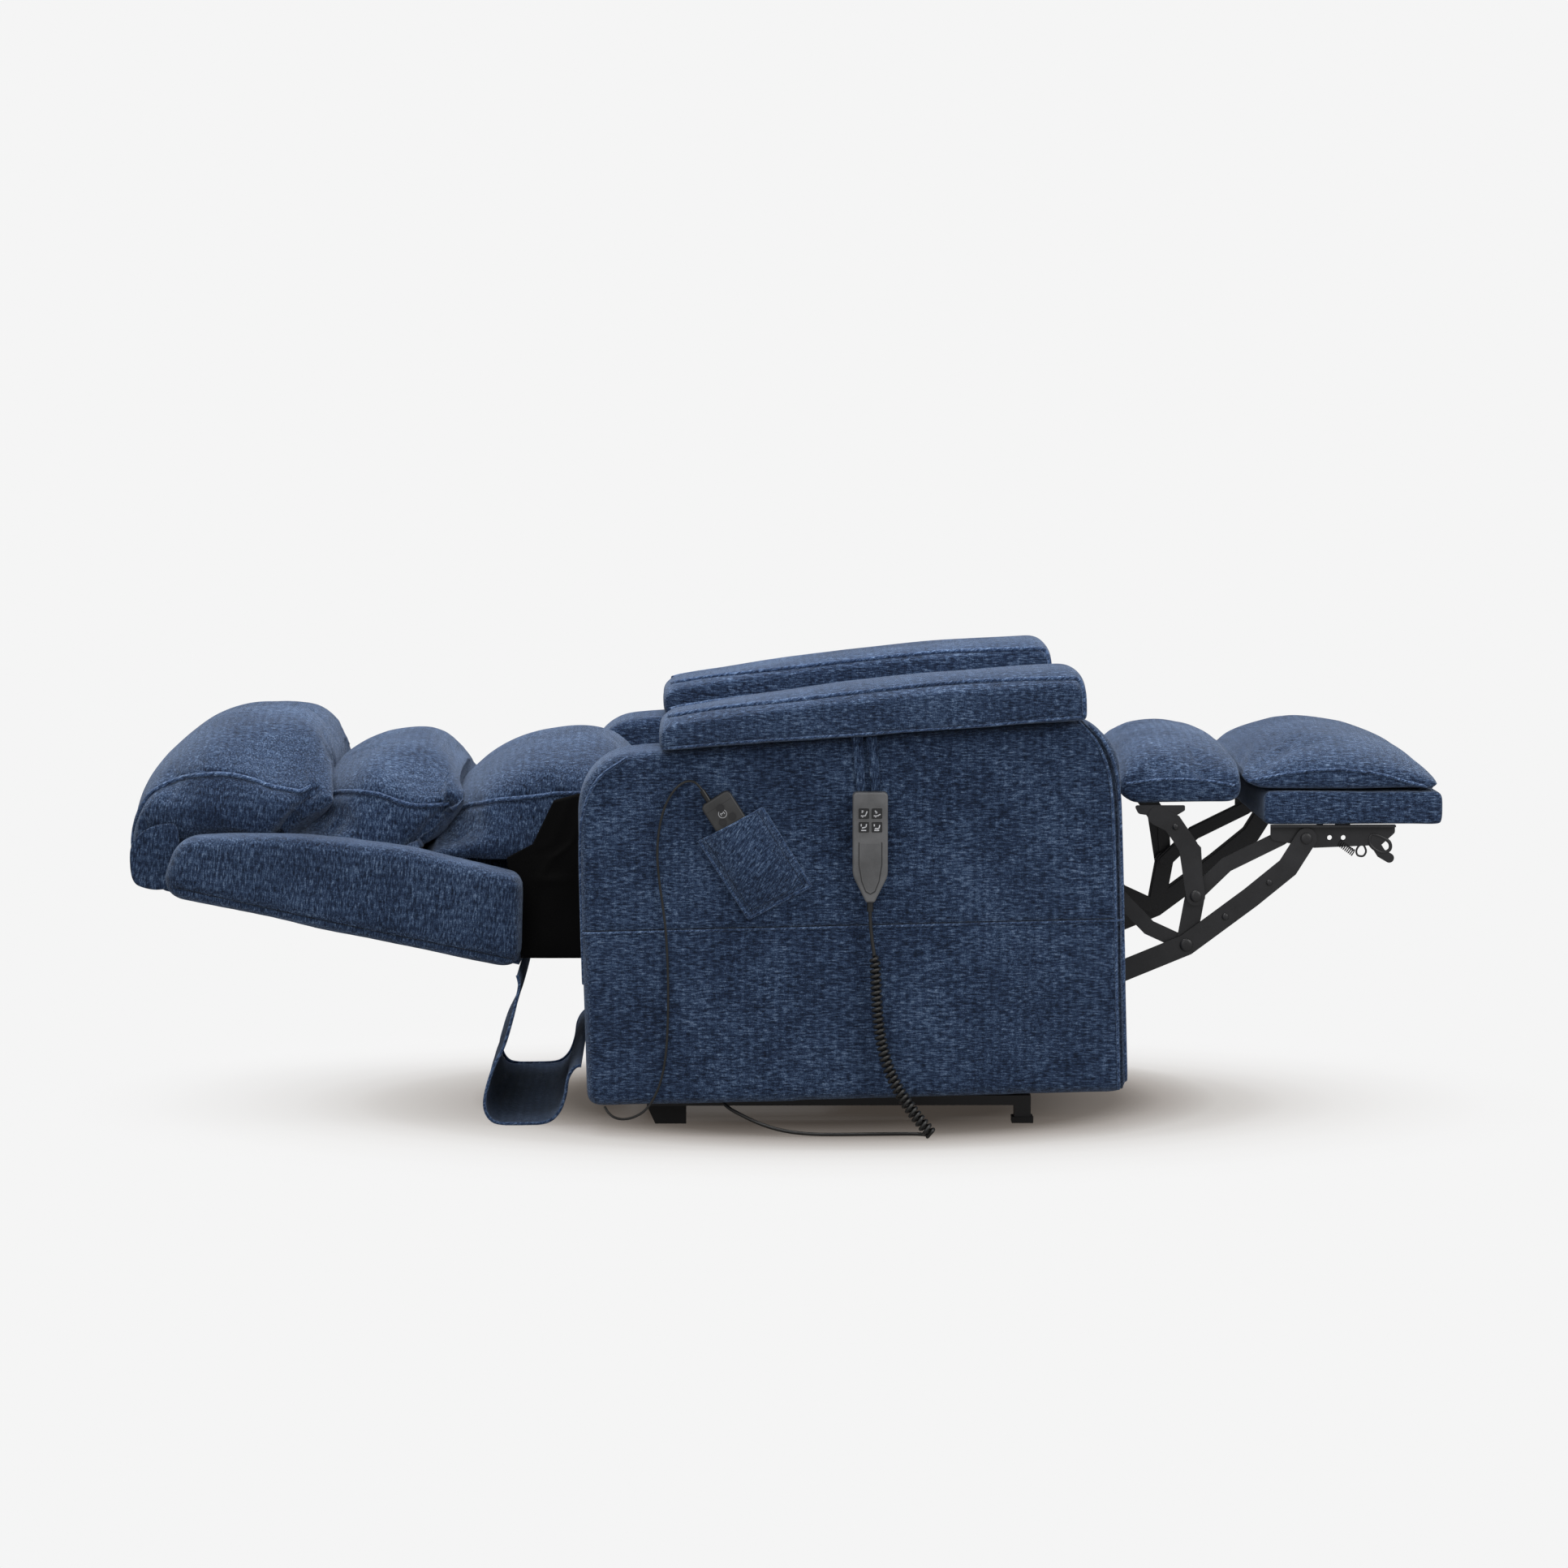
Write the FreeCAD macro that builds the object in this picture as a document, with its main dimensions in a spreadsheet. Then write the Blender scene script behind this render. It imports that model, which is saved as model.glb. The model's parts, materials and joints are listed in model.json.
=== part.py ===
import FreeCAD, Part
import math
import os
import re
from types import SimpleNamespace

import Sketcher

from FreeCAD import Placement, Rotation, Vector

# Lift recliner chair, laid flat with the legrest out and the lift down.
# X points to the sitter's feet, Y to the sitter's left, Z up, and the floor is Z = 0.

doc = FreeCAD.newDocument("LiftReclinerChair")
sheet = doc.addObject("Spreadsheet::Sheet", "Sizes")

SIZES = [
    # arm sides
    ("arm_inner", 275, "half distance between the arm sides"),
    ("arm_width", 165, "thickness of one arm side"),
    ("arm_length", 776, "length of an arm side"),
    ("arm_rear", -290, "rear lower corner of an arm side"),
    ("arm_bottom", 40, "height of that corner over the floor"),
    ("arm_tilt", 1.5, "nose-up tilt of the arm sides, degrees"),
    ("arm_top_rear", 506, "height of an arm side at the rear"),
    ("arm_top_front", 540, "height of an arm side at the front"),
    ("arm_shoulder", 82, "radius of the rear shoulder"),
    ("arm_nose", 72, "radius of the front upper corner"),
    ("arm_foot_radius", 18, "radius of the lower corners"),
    ("arm_edge_radius", 10, "softened long edges of an arm side"),
    ("glide_radius", 15, "radius of a glide under an arm side"),
    ("glide_height", 4, "height of a glide"),
    ("glide_inset", 55, "distance of a glide from the end of its arm side"),
    # armrest pads
    ("pad_start", 120, "rear end of an armrest from the rear of its side"),
    ("pad_end", 727, "front end of an armrest"),
    ("pad_overhang", 35, "how far an armrest stands out over its side"),
    ("pad_rear_height", 54, "thickness of an armrest at the back"),
    ("pad_front_height", 74, "thickness of an armrest at the front"),
    ("pad_nose", 28, "radius of the front upper corner"),
    ("pad_gap", 0.2, "seam between an armrest and its side"),
    # lift base
    ("rail_out", "=arm_inner + 27", "half distance between the floor rails"),
    ("rail_width", 24, "width of a floor rail"),
    ("rail_height", 14, "height of a floor rail"),
    ("rail_bottom", 26, "underside of the floor rails"),
    ("rail_rear", -204, "rear end of the floor rails"),
    ("rail_front", 354, "front end of the floor rails"),
    ("beam_size", 30, "width of the base cross beams"),
    ("foot_post", 24, "side of the front foot post"),
    ("foot_cap", 31, "side of the rubber cap of a front foot"),
    ("foot_cap_height", 9, "height of that cap"),
    ("rear_foot_length", 57, "length of a rear foot"),
    ("rear_foot_taper", 12, "slope length at the back of a rear foot"),
    # lift linkage
    ("lift_front_x", 360, "front pivot on the base"),
    ("lift_rear_x", 200, "rear pivot on the base"),
    ("lift_base_z", 65, "height of the base pivots"),
    ("frame_front_x", 130, "front pivot on the moving frame"),
    ("frame_front_z", 100, "its height"),
    ("frame_rear_x", -230, "rear pivot on the moving frame"),
    ("frame_rear_z", 105, "its height"),
    ("lift_plate", 6, "thickness of lift links and lugs"),
    ("lift_half", 14, "half width of a lift link"),
    ("lift_pin", 6, "radius of a lift pin"),
    ("lift_gap", 4, "side gap between lift plates"),
    ("lift_side", "=arm_inner - 59", "inner face of the moving frame's side plates"),
    ("lift_tube", 11, "radius of a lift cross tube"),
    ("pin_clearance", 0.1, "running clearance of a pin"),
    ("frame_rail_bottom", 125, "underside of the moving frame's cross rails"),
    ("frame_rail_height", 25, "height of these cross rails"),
    ("frame_rail_width", 30, "width of these cross rails"),
    ("frame_rail_front", 75, "centre of the front cross rail"),
    ("frame_rail_rear", -240, "centre of the rear cross rail"),
    # seat frame
    ("seat_plate_in", "=arm_inner - 31", "inner face of the seat side plates"),
    ("seat_plate", 6, "thickness of the seat side plates"),
    ("seat_plate_bottom", 195, "lower edge of the seat side plates"),
    ("seat_plate_top", 270, "upper edge of the seat side plates"),
    ("back_pivot_x", -300, "hinge of the back"),
    ("back_pivot_z", 340, "height of that hinge"),
    ("back_pin_reach", 10, "how far a back hinge pin stands inwards"),
    ("lug_radius", 16, "radius of a pivot lug"),
    ("seat_box_rear", -55, "rear face of the seat box"),
    ("seat_box_front", 425, "front face of the seat box"),
    ("seat_box_bottom", 345, "underside of the seat box"),
    ("seat_box_top", 412, "top of the seat box"),
    ("seat_board", 20, "thickness of the seat box boards"),
    ("strap_width", 55, "width of a webbing strap"),
    ("strap_thickness", 3, "thickness of a webbing strap"),
    ("strap_step", 105, "distance between webbing straps"),
    ("cushion_half", "=arm_inner - 25", "half width of the seat cushion"),
    ("cushion_bottom", 417, "underside of the seat cushion"),
    ("cushion_top", 508, "top edge of the seat cushion"),
    ("cushion_crown", 24, "crown of the seat cushion"),
    ("cushion_rear_low", -62, "rear lower edge of the seat cushion"),
    ("cushion_rear_top", -118, "rear upper edge of the seat cushion"),
    ("cushion_front", 456, "front edge of the seat cushion"),
    # back
    ("back_half", "=arm_inner - 9", "half width of the back cushions"),
    ("wing_in", "=back_half + 3", "inner face of the wings"),
    ("wing_width", 66, "width of a wing"),
    ("wing_out", "=wing_in + wing_width", "outer face of the wings"),
    ("wing_radius", 18, "softened edges of the wings"),
    ("back_frame_half", "=seat_plate_in - 3", "outer face of the back frame"),
    ("back_rail", 24, "width of a back frame rail"),
    ("back_rail_depth", 24, "depth of a back frame rail"),
    ("back_frame_length", 560, "length of the back frame"),
    ("back_frame_start", 60, "distance of the frame from the back hinge"),
    ("back_frame_angle", 3.5, "slope of the back frame, degrees"),
    ("back_lever", 80, "lever of the back actuator"),
    ("back_lever_angle", -20, "angle of that lever behind straight down, degrees"),
    ("back_lever_tube", 9, "radius of the lever tube"),
    ("lever_tube_reach", 38, "distance of the lever tube from the back hinge"),
    ("clevis_gap", 1.5, "side gap between an actuator's eye and its clevis"),
    # skirt and dust cloth
    ("cloth", 3, "thickness of hanging cloth"),
    ("skirt_half", "=wing_out - 5", "half width of the back skirt"),
    ("dust_half", "=wing_in - 1.5", "half distance of the dust cloth sides"),
    # legrest linkage
    ("link_plate", 3, "thickness of a legrest link"),
    ("link_layer", 5, "step from one layer of links to the next"),
    ("link_layer_in", "=seat_plate_in + seat_plate + 2.5", "inner face of the innermost layer"),
    ("link_half", 11, "half width of a legrest link"),
    ("rivet", 5, "radius of a rivet shank"),
    ("rivet_head", 8, "radius of a rivet head"),
    ("rivet_head_height", 1.4, "height of a rivet head"),
    ("torque_tube", 10, "radius of the torque tube"),
    ("front_link_x", 442, "fixed pivot of the front link"),
    ("front_link_z", 369, "its height"),
    ("rear_link_x", 390, "fixed pivot of the rear link"),
    ("rear_link_z", 400, "its height"),
    ("knee_x", 583.2, "pivot of the front link on the outer link"),
    ("knee_z", 254.5, "its height"),
    ("shin_x", 596.3, "pivot of the front link on the inner link"),
    ("shin_z", 326.6, "its height"),
    ("tail_x", 462, "rear end of the outer link"),
    ("tail_z", 205, "its height"),
    ("toe_x", 757.7, "pivot of the outer link on the foot bracket"),
    ("heel_x", 722.4, "pivot of the inner link on the foot bracket"),
    ("toe_z", 410.5, "height of both foot bracket pivots"),
    # legrest pads
    ("leg_half", "=link_layer_in + 4 * link_layer - 0.5", "half width of the legrest pads"),
    ("board_front", 958, "outer end of the foot board"),
    ("board_rear", 694, "inner end of the foot board"),
    ("board_bottom", 430, "underside of the foot board"),
    ("board_top", 480, "top of the foot board"),
    ("mid_pivot_x", 487.5, "hinge of the middle pad"),
    ("mid_pivot_z", 487.5, "height of that hinge"),
    ("mid_pad_bottom", 460, "underside of the middle pad"),
    ("mid_pad_rear", 508, "rear lower edge of the middle pad"),
    ("mid_pad_front", 655, "front edge of the middle pad"),
    ("flange_rear", 706, "rear end of the foot bracket's flange"),
    ("flange_front", 888, "front end of that flange"),
    # actuators
    ("case_length", 96, "length of an actuator's gear case"),
    ("case_width", 44, "width of the gear case"),
    ("case_height", 52, "height of the gear case"),
    ("motor_radius", 24, "radius of the motor can"),
    ("motor_length", 92, "length of the motor can"),
    ("outer_tube", 17, "radius of an actuator's outer tube"),
    ("rod_radius", 10, "radius of a push rod"),
    ("rod_clearance", 0.4, "clearance of the push rod in its tube"),
    ("eye_radius", 12, "radius of an actuator's eyes"),
    ("eye_width", 14, "width of an actuator's eyes"),
    ("eye_bore", 5, "radius of the pin hole in an eye"),
    ("eye_neck", 14, "height of the neck behind an eye"),
    ("case_gap", 2, "gap between a gear case and its clevis"),
    ("shank_length", 36, "length of the flat shank at a push rod's end"),
    ("lift_act_x", -158, "rear pin of the lift actuator"),
    ("lift_act_z", 50, "its height"),
    ("lift_rod_x", 175, "rod pin of the lift actuator"),
    ("lift_rod_z", 125, "its height"),
    ("back_act_x", 150, "rear pin of the back actuator"),
    ("back_act_z", 232, "its height"),
    ("back_act_y", 70, "sideways place of the back actuator"),
    # handset and its cords
    ("handset_width", 50, "width of the handset"),
    ("handset_top", 495, "top of the handset"),
    ("handset_taper", 376, "where the handset starts to taper"),
    ("handset_tip", 338, "lower tip of the handset"),
    ("handset_x", 115.4, "centre line of the handset"),
    ("handset_back", "=arm_inner + arm_width + 2", "back face of the handset"),
    ("handset_split", "=handset_back + 10", "joint of the two handset shells"),
    ("handset_face", "=handset_split + 12", "front face of the handset"),
    ("button_side", 13, "side of a square button"),
    ("button_rise", 1.8, "how far a button stands out"),
    ("button_step_x", 18.5, "distance between the buttons, sideways"),
    ("button_step_z", 19.5, "distance between the buttons, upright"),
    ("button_top", 465, "height of the upper buttons"),
    ("button_gap", 0.6, "gap round a button"),
    ("button_depth", 6, "depth of a button's well"),
    ("button_stem", 3.2, "length of a button behind the face"),
    ("lead_radius", 2.6, "radius of the handset lead"),
    ("curl_top", 8.2, "outer radius of the curly cord at its upper end"),
    ("curl_bottom", 10, "outer radius of the curly cord at its lower end"),
    ("curl_count", 35, "number of curls"),
    ("curl_start", 1.25, "turns in which the curly cord opens to its full radius"),
    ("thin_lead", 1.8, "radius of the second control's lead"),
    # second control and its pocket
    ("control_x", -106.4, "centre of the second control's upper end"),
    ("control_z", 486.7, "its height"),
    ("control_lean", 32.5, "lean of the control and its pocket, degrees"),
    ("control_width", 47, "width of the second control"),
    ("control_length", 112, "length of the second control"),
    ("control_depth", 15, "thickness of the second control"),
    ("relief_offset", 9, "sideways place of the control's strain relief"),
    ("pocket_width", 104, "width of the pocket"),
    ("pocket_length", 133, "length of the pocket"),
    ("pocket_wall", 2.5, "thickness of the pocket cloth"),
    ("pocket_drop", 43, "how far the pocket's mouth lies below the control's end"),
    ("pocket_slack", 2.4, "room in the pocket in front of the control"),
    ("side_gap", 0.4, "gap between the arm side and what hangs on it"),
]

for row, (alias, number, meaning) in enumerate(SIZES, start=1):
    sheet.set(f"A{row}", meaning)
    sheet.set(f"B{row}", str(number))
    sheet.setAlias(f"B{row}", alias)
doc.recompute()
g = SimpleNamespace(**{alias: float(sheet.get(alias)) for alias, _, _ in SIZES})
arm_face = g.arm_inner + g.arm_width

nodes = {}


# General helpers

def cells(text):
    """Turn size names in an expression into references to the sheet."""
    return re.sub(r"[a-z][a-z_]+", lambda m: "Sizes." + m.group() if hasattr(g, m.group()) else m.group(), text)


def bind(obj, **texts):
    """Bind properties to the sheet; x, y and z mean the placement."""
    for prop, text in texts.items():
        path = f"Placement.Base.{prop}" if prop in "xyz" else prop
        obj.setExpression(path, cells(text))
    return obj


def box(name, length, width, height, x, y, z):
    obj = doc.addObject("Part::Box", name)
    return bind(obj, Length=length, Width=width, Height=height, x=x, y=y, z=z)


def rod(name, radius, height, x, y, z, axis=(0, 1, 0)):
    obj = doc.addObject("Part::Cylinder", name)
    obj.Placement = Placement(Vector(), Rotation(Vector(0, 0, 1), Vector(*axis)))
    return bind(obj, Radius=radius, Height=height, x=x, y=y, z=z)


def fuse(name, *shapes):
    obj = doc.addObject("Part::MultiFuse", name)
    obj.Shapes = list(shapes)
    return obj


def group(name, *shapes):
    obj = doc.addObject("Part::Compound", name)
    obj.Links = list(shapes)
    return obj


def cut(name, base, tool):
    obj = doc.addObject("Part::Cut", name)
    obj.Base = base
    obj.Tool = tool
    return obj


def mirrored(source):
    obj = doc.addObject("Part::Mirroring", source.Name + "Left")
    obj.Source = source
    obj.Normal = Vector(0, 1, 0)
    return obj


def feature(name, shape, place=None):
    obj = doc.addObject("Part::Feature", name)
    obj.Shape = shape
    obj.Placement = place or Placement()
    return obj


def node(label, obj):
    obj.Label = label
    nodes[label] = obj
    return obj


# Outlines in the X-Z plane

def flat(x, z):
    return Vector(x, z, 0)


def bowed(start, end, bulge):
    """A line, or an arc that stands out to the left of its chord by bulge."""
    if abs(bulge) < 1e-6:
        return Part.LineSegment(start, end)
    chord = end - start
    side = Vector(-chord.y, chord.x, 0).normalize()
    return Part.Arc(start, (start + end) * 0.5 + side * bulge, end)


def outline(points):
    """Closed outline of (x, z, bulge of the edge that follows)."""
    count = len(points)
    edges = []
    for i, (x, z, bulge) in enumerate(points):
        nx, nz, _ = points[(i + 1) % count]
        edges.append(bowed(flat(x, z), flat(nx, nz), bulge))
    return edges


def rounded(points):
    """Closed outline of (x, z, corner radius) with tangent corner arcs."""
    count = len(points)
    corners = []
    for i, (x, z, radius) in enumerate(points):
        here = flat(x, z)
        before = flat(*points[i - 1][:2])
        after = flat(*points[(i + 1) % count][:2])
        to_before = (before - here).normalize()
        to_after = (after - here).normalize()
        half = to_before.getAngle(to_after) / 2
        if radius <= 0 or abs(half - math.pi / 2) < 1e-4:
            corners.append((here, None, here))
            continue
        reach = radius / math.tan(half)
        centre = here + (to_before + to_after).normalize() * (radius / math.sin(half))
        middle = centre + (here - centre).normalize() * radius
        corners.append((here + to_before * reach, middle, here + to_after * reach))
    edges = []
    for i, (start, middle, end) in enumerate(corners):
        if middle is not None:
            edges.append(Part.Arc(start, middle, end))
        following = corners[(i + 1) % count][0]
        if (following - end).Length > 1e-6:
            edges.append(Part.LineSegment(end, following))
    return edges


def strip(path, half):
    """Outline of a flat bar with round ends along a path of (x, z) points."""
    points = [flat(*p) for p in path]
    normals = []
    for a, b in zip(points, points[1:]):
        along = (b - a).normalize()
        normals.append(Vector(-along.y, along.x, 0))

    def flank(order, turn_normals):
        """Offset points on one flank: a mitre at each inner point of the path."""
        line = [order[0] + turn_normals[0] * half]
        for i in range(1, len(order) - 1):
            both = (turn_normals[i - 1] + turn_normals[i]).normalize()
            line.append(order[i] + both * (half / both.dot(turn_normals[i])))
        line.append(order[-1] + turn_normals[-1] * half)
        return line

    there = flank(points, normals)
    back = flank(points[::-1], [n * -1 for n in normals[::-1]])
    end_along = (points[-1] - points[-2]).normalize()
    start_along = (points[0] - points[1]).normalize()
    edges = [Part.LineSegment(a, b) for a, b in zip(there, there[1:])]
    edges.append(Part.Arc(there[-1], points[-1] + end_along * half, back[0]))
    edges += [Part.LineSegment(a, b) for a, b in zip(back, back[1:])]
    edges.append(Part.Arc(back[-1], points[0] + start_along * half, there[0]))
    return edges


def upright(edges, y=0.0):
    """The same edges as a closed wire in the X-Z plane at a given Y."""
    wire = Part.Wire([e.toShape() for e in edges])
    wire.Placement = Placement(Vector(0, y, 0), Rotation(Vector(1, 0, 0), 90))
    return wire


# Plates and mouldings as bodies with a sketch and a pad

def padded(name, edges, depth, y, holes=(), x="0", z="0"):
    """A body padded towards -Y from y; holes are (x, z, radius cell) in the sketch."""
    body = doc.addObject("PartDesign::Body", name)
    sketch = body.newObject("Sketcher::SketchObject", name + "Outline")
    plane = next(f for f in body.Origin.OriginFeatures if f.Role == "XZ_Plane")
    sketch.AttachmentSupport = [(plane, "")]
    sketch.MapMode = "FlatFace"
    for edge in edges:
        sketch.addGeometry(edge, False)
    for hx, hz, radius in holes:
        circle = sketch.addGeometry(Part.Circle(flat(hx, hz), Vector(0, 0, 1), 1.0), False)
        sketch.addConstraint(Sketcher.Constraint("Radius", circle, 1.0))
        sketch.setExpression(f"Constraints[{sketch.ConstraintCount - 1}]", cells(radius))
    pad = body.newObject("PartDesign::Pad", name + "Pad")
    pad.Profile = sketch
    pad.setExpression("Length", cells(depth))
    body.Tip = pad
    return bind(body, x=x, y=y, z=z)


def softened(body, radius, picks):
    """Fillet the edges of a body's pad that picks(edge) chooses."""
    doc.recompute()
    base = body.Tip
    names = [f"Edge{i}" for i, e in enumerate(base.Shape.Edges, start=1) if picks(e)]
    fillet = body.newObject("PartDesign::Fillet", body.Name + "Fillet")
    fillet.Base = (base, names)
    fillet.setExpression("Radius", cells(radius))
    body.Tip = fillet
    return body


def on_face(y):
    """Chooses the edges that lie in the plane at this Y of the pad."""
    return lambda edge: all(abs(v.Y - y) < 1e-4 for v in edge.Vertexes)


# Lift base

def lug(name, base_start, base_end, x, z, half, y, hole=None, floor=None):
    """A plate that rises from a beam to a round eye at (x, z)."""
    low = g.rail_bottom + g.rail_height if floor is None else floor
    points = [(base_start, low, 0), (base_end, low, 0), (x + half, z, -half), (x - half, z, 0)]
    holes = [(x, z, hole)] if hole else []
    return padded(name, outline(points), "lift_plate", y, holes)


def base_frame():
    rail_length = "rail_front - rail_rear"
    rail = box("Rail", rail_length, "rail_width", "rail_height", "rail_rear",
               "0 - rail_out - rail_width / 2", "rail_bottom")
    beams = []
    for name, x in (("FrontBeam", "rail_front - beam_size"),
                    ("MiddleBeam", "lift_rear_x - beam_size / 2"),
                    ("RearBeam", "rail_rear")):
        beams.append(box(name, "beam_size", "2 * rail_out + rail_width", "rail_height", x,
                         "0 - rail_out - rail_width / 2", "rail_bottom"))
    front_lug = lug("FrontLug", g.rail_front - g.beam_size, g.rail_front, g.lift_front_x, g.lift_base_z,
                    g.lift_half, "0 - lift_side - 2 * (lift_plate + lift_gap)")
    front_pin = rod("FrontPin", "lift_pin", "lift_plate * 2 + lift_gap + 1", "lift_front_x",
                    "0 - lift_side - 3 * lift_plate - 2 * lift_gap", "lift_base_z")
    rear_lug = lug("RearLug", g.lift_rear_x - g.beam_size / 2, g.lift_rear_x + g.beam_size / 2, g.lift_rear_x,
                   g.lift_base_z, g.lug_radius, "0 - lift_side + 2 * lift_gap + 2 * lift_plate",
                   "lift_tube + pin_clearance")
    motor_lug = lug("MotorLug", g.rail_rear, g.rail_rear + g.beam_size, g.lift_act_x, g.lift_act_z,
                    g.eye_radius, "0 - eye_width / 2 - clevis_gap")
    motor_pin = rod("MotorPin", "eye_bore - pin_clearance", "eye_width + 2 * (clevis_gap + lift_plate)",
                    "lift_act_x", "0 - eye_width / 2 - clevis_gap - lift_plate", "lift_act_z")
    post = box("FrontPost", "foot_post", "foot_post", "rail_bottom - foot_cap_height", "rail_front - foot_post",
               "0 - rail_out - foot_post / 2", "foot_cap_height")
    halves = [rail, front_lug, front_pin, rear_lug, motor_lug, post]
    return node("base_frame", fuse("BaseFrame", *beams, motor_pin, *halves, *[mirrored(h) for h in halves]))


def feet():
    cap = box("FootCap", "foot_cap", "foot_cap", "foot_cap_height",
              "rail_front - foot_post / 2 - foot_cap / 2", "0 - rail_out - foot_cap / 2", "0")
    slope = g.rear_foot_taper
    shoe = [(g.rail_rear + slope, 0, 0), (g.rail_rear + g.rear_foot_length, 0, 0),
            (g.rail_rear + g.rear_foot_length, g.rail_bottom, 0), (g.rail_rear, g.rail_bottom, 0)]
    rear = padded("RearFoot", outline(shoe), "foot_post", "0 - rail_out + foot_post / 2")
    node("front_feet", group("FrontFeet", cap, mirrored(cap)))
    node("rear_feet", group("RearFeet", rear, mirrored(rear)))


# Lift links and moving frame

LIFT_A = (g.lift_front_x, g.lift_base_z)
LIFT_B = (g.frame_front_x, g.frame_front_z)
LIFT_C = (g.lift_rear_x, g.lift_base_z)
LIFT_D = (g.frame_rear_x, g.frame_rear_z)
LIFT_HOLE = "lift_pin + pin_clearance"


def along(start, end, distance):
    """The point at a distance from start towards end."""
    length = math.hypot(end[0] - start[0], end[1] - start[1])
    return tuple(a + (b - a) * distance / length for a, b in zip(start, end))


def cross_tube(name, radius, half, point):
    return rod(name, radius, f"2 * ({half})", str(point[0]), f"0 - ({half})", str(point[1]))


def front_lift_link():
    plate = padded("FrontLiftPlate", strip([LIFT_A, LIFT_B], g.lift_half), "lift_plate",
                   "0 - lift_side - lift_plate - lift_gap", [(*LIFT_A, LIFT_HOLE), (*LIFT_B, LIFT_HOLE)])
    tube = cross_tube("FrontLiftTube", "lift_tube", "lift_side + lift_plate + lift_gap",
                      along(LIFT_A, LIFT_B, 4 * g.lift_half))
    node("front_lift_link", fuse("FrontLiftLink", plate, mirrored(plate), tube))


def rear_lift_link():
    plate = padded("RearLiftPlate", strip([LIFT_C, LIFT_D], g.lift_half), "lift_plate",
                   "0 - lift_side + lift_gap + lift_plate", [(*LIFT_D, "lift_pin")])
    hub = cross_tube("LiftTorqueTube", "lift_tube", "lift_side - lift_gap - lift_plate", LIFT_C)
    reach = math.hypot(LIFT_D[0] - LIFT_C[0], LIFT_D[1] - LIFT_C[1])
    tie = cross_tube("RearLiftTube", "lift_tube", "lift_side - lift_gap - lift_plate",
                     along(LIFT_C, LIFT_D, reach - 3 * g.lift_half))
    crank = padded("LiftCrank", strip([LIFT_C, (g.lift_rod_x, g.lift_rod_z)], g.eye_radius), "lift_plate",
                   "0 - eye_width / 2 - clevis_gap")
    node("rear_lift_link", fuse("RearLiftLink", plate, mirrored(plate), hub, tie, crank, mirrored(crank)))


def lift_frame():
    top = g.frame_rail_bottom + g.frame_rail_height
    low = g.frame_front_z - g.lug_radius
    rear = g.frame_rail_rear - g.frame_rail_width / 2
    front = g.frame_front_x + g.lug_radius
    side = padded("LiftSidePlate", rounded([(rear, low, 12), (front, low, 14), (front, top, 20), (rear, top, 4)]),
                  "lift_plate", "0 - lift_side", [(*LIFT_D, "lift_pin")])
    pin = rod("LiftFramePin", "lift_pin", "2 * lift_plate + lift_gap + 1", "frame_front_x",
              "0 - lift_side - 2 * lift_plate - lift_gap - 1", "frame_front_z")
    rails = [box(name, "frame_rail_width", "2 * arm_inner", "frame_rail_height",
                 f"{x} - frame_rail_width / 2", "0 - arm_inner", "frame_rail_bottom")
             for name, x in (("FrontRail", "frame_rail_front"), ("RearRail", "frame_rail_rear"))]
    node("lift_frame", fuse("LiftFrame", side, mirrored(side), pin, mirrored(pin), *rails))


# Seat frame, seat box, webbing and cushion

def seat_post(name, path, half, holes=()):
    return padded(name, strip(path, half), "seat_plate", "0 - seat_plate_in", holes)


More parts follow.
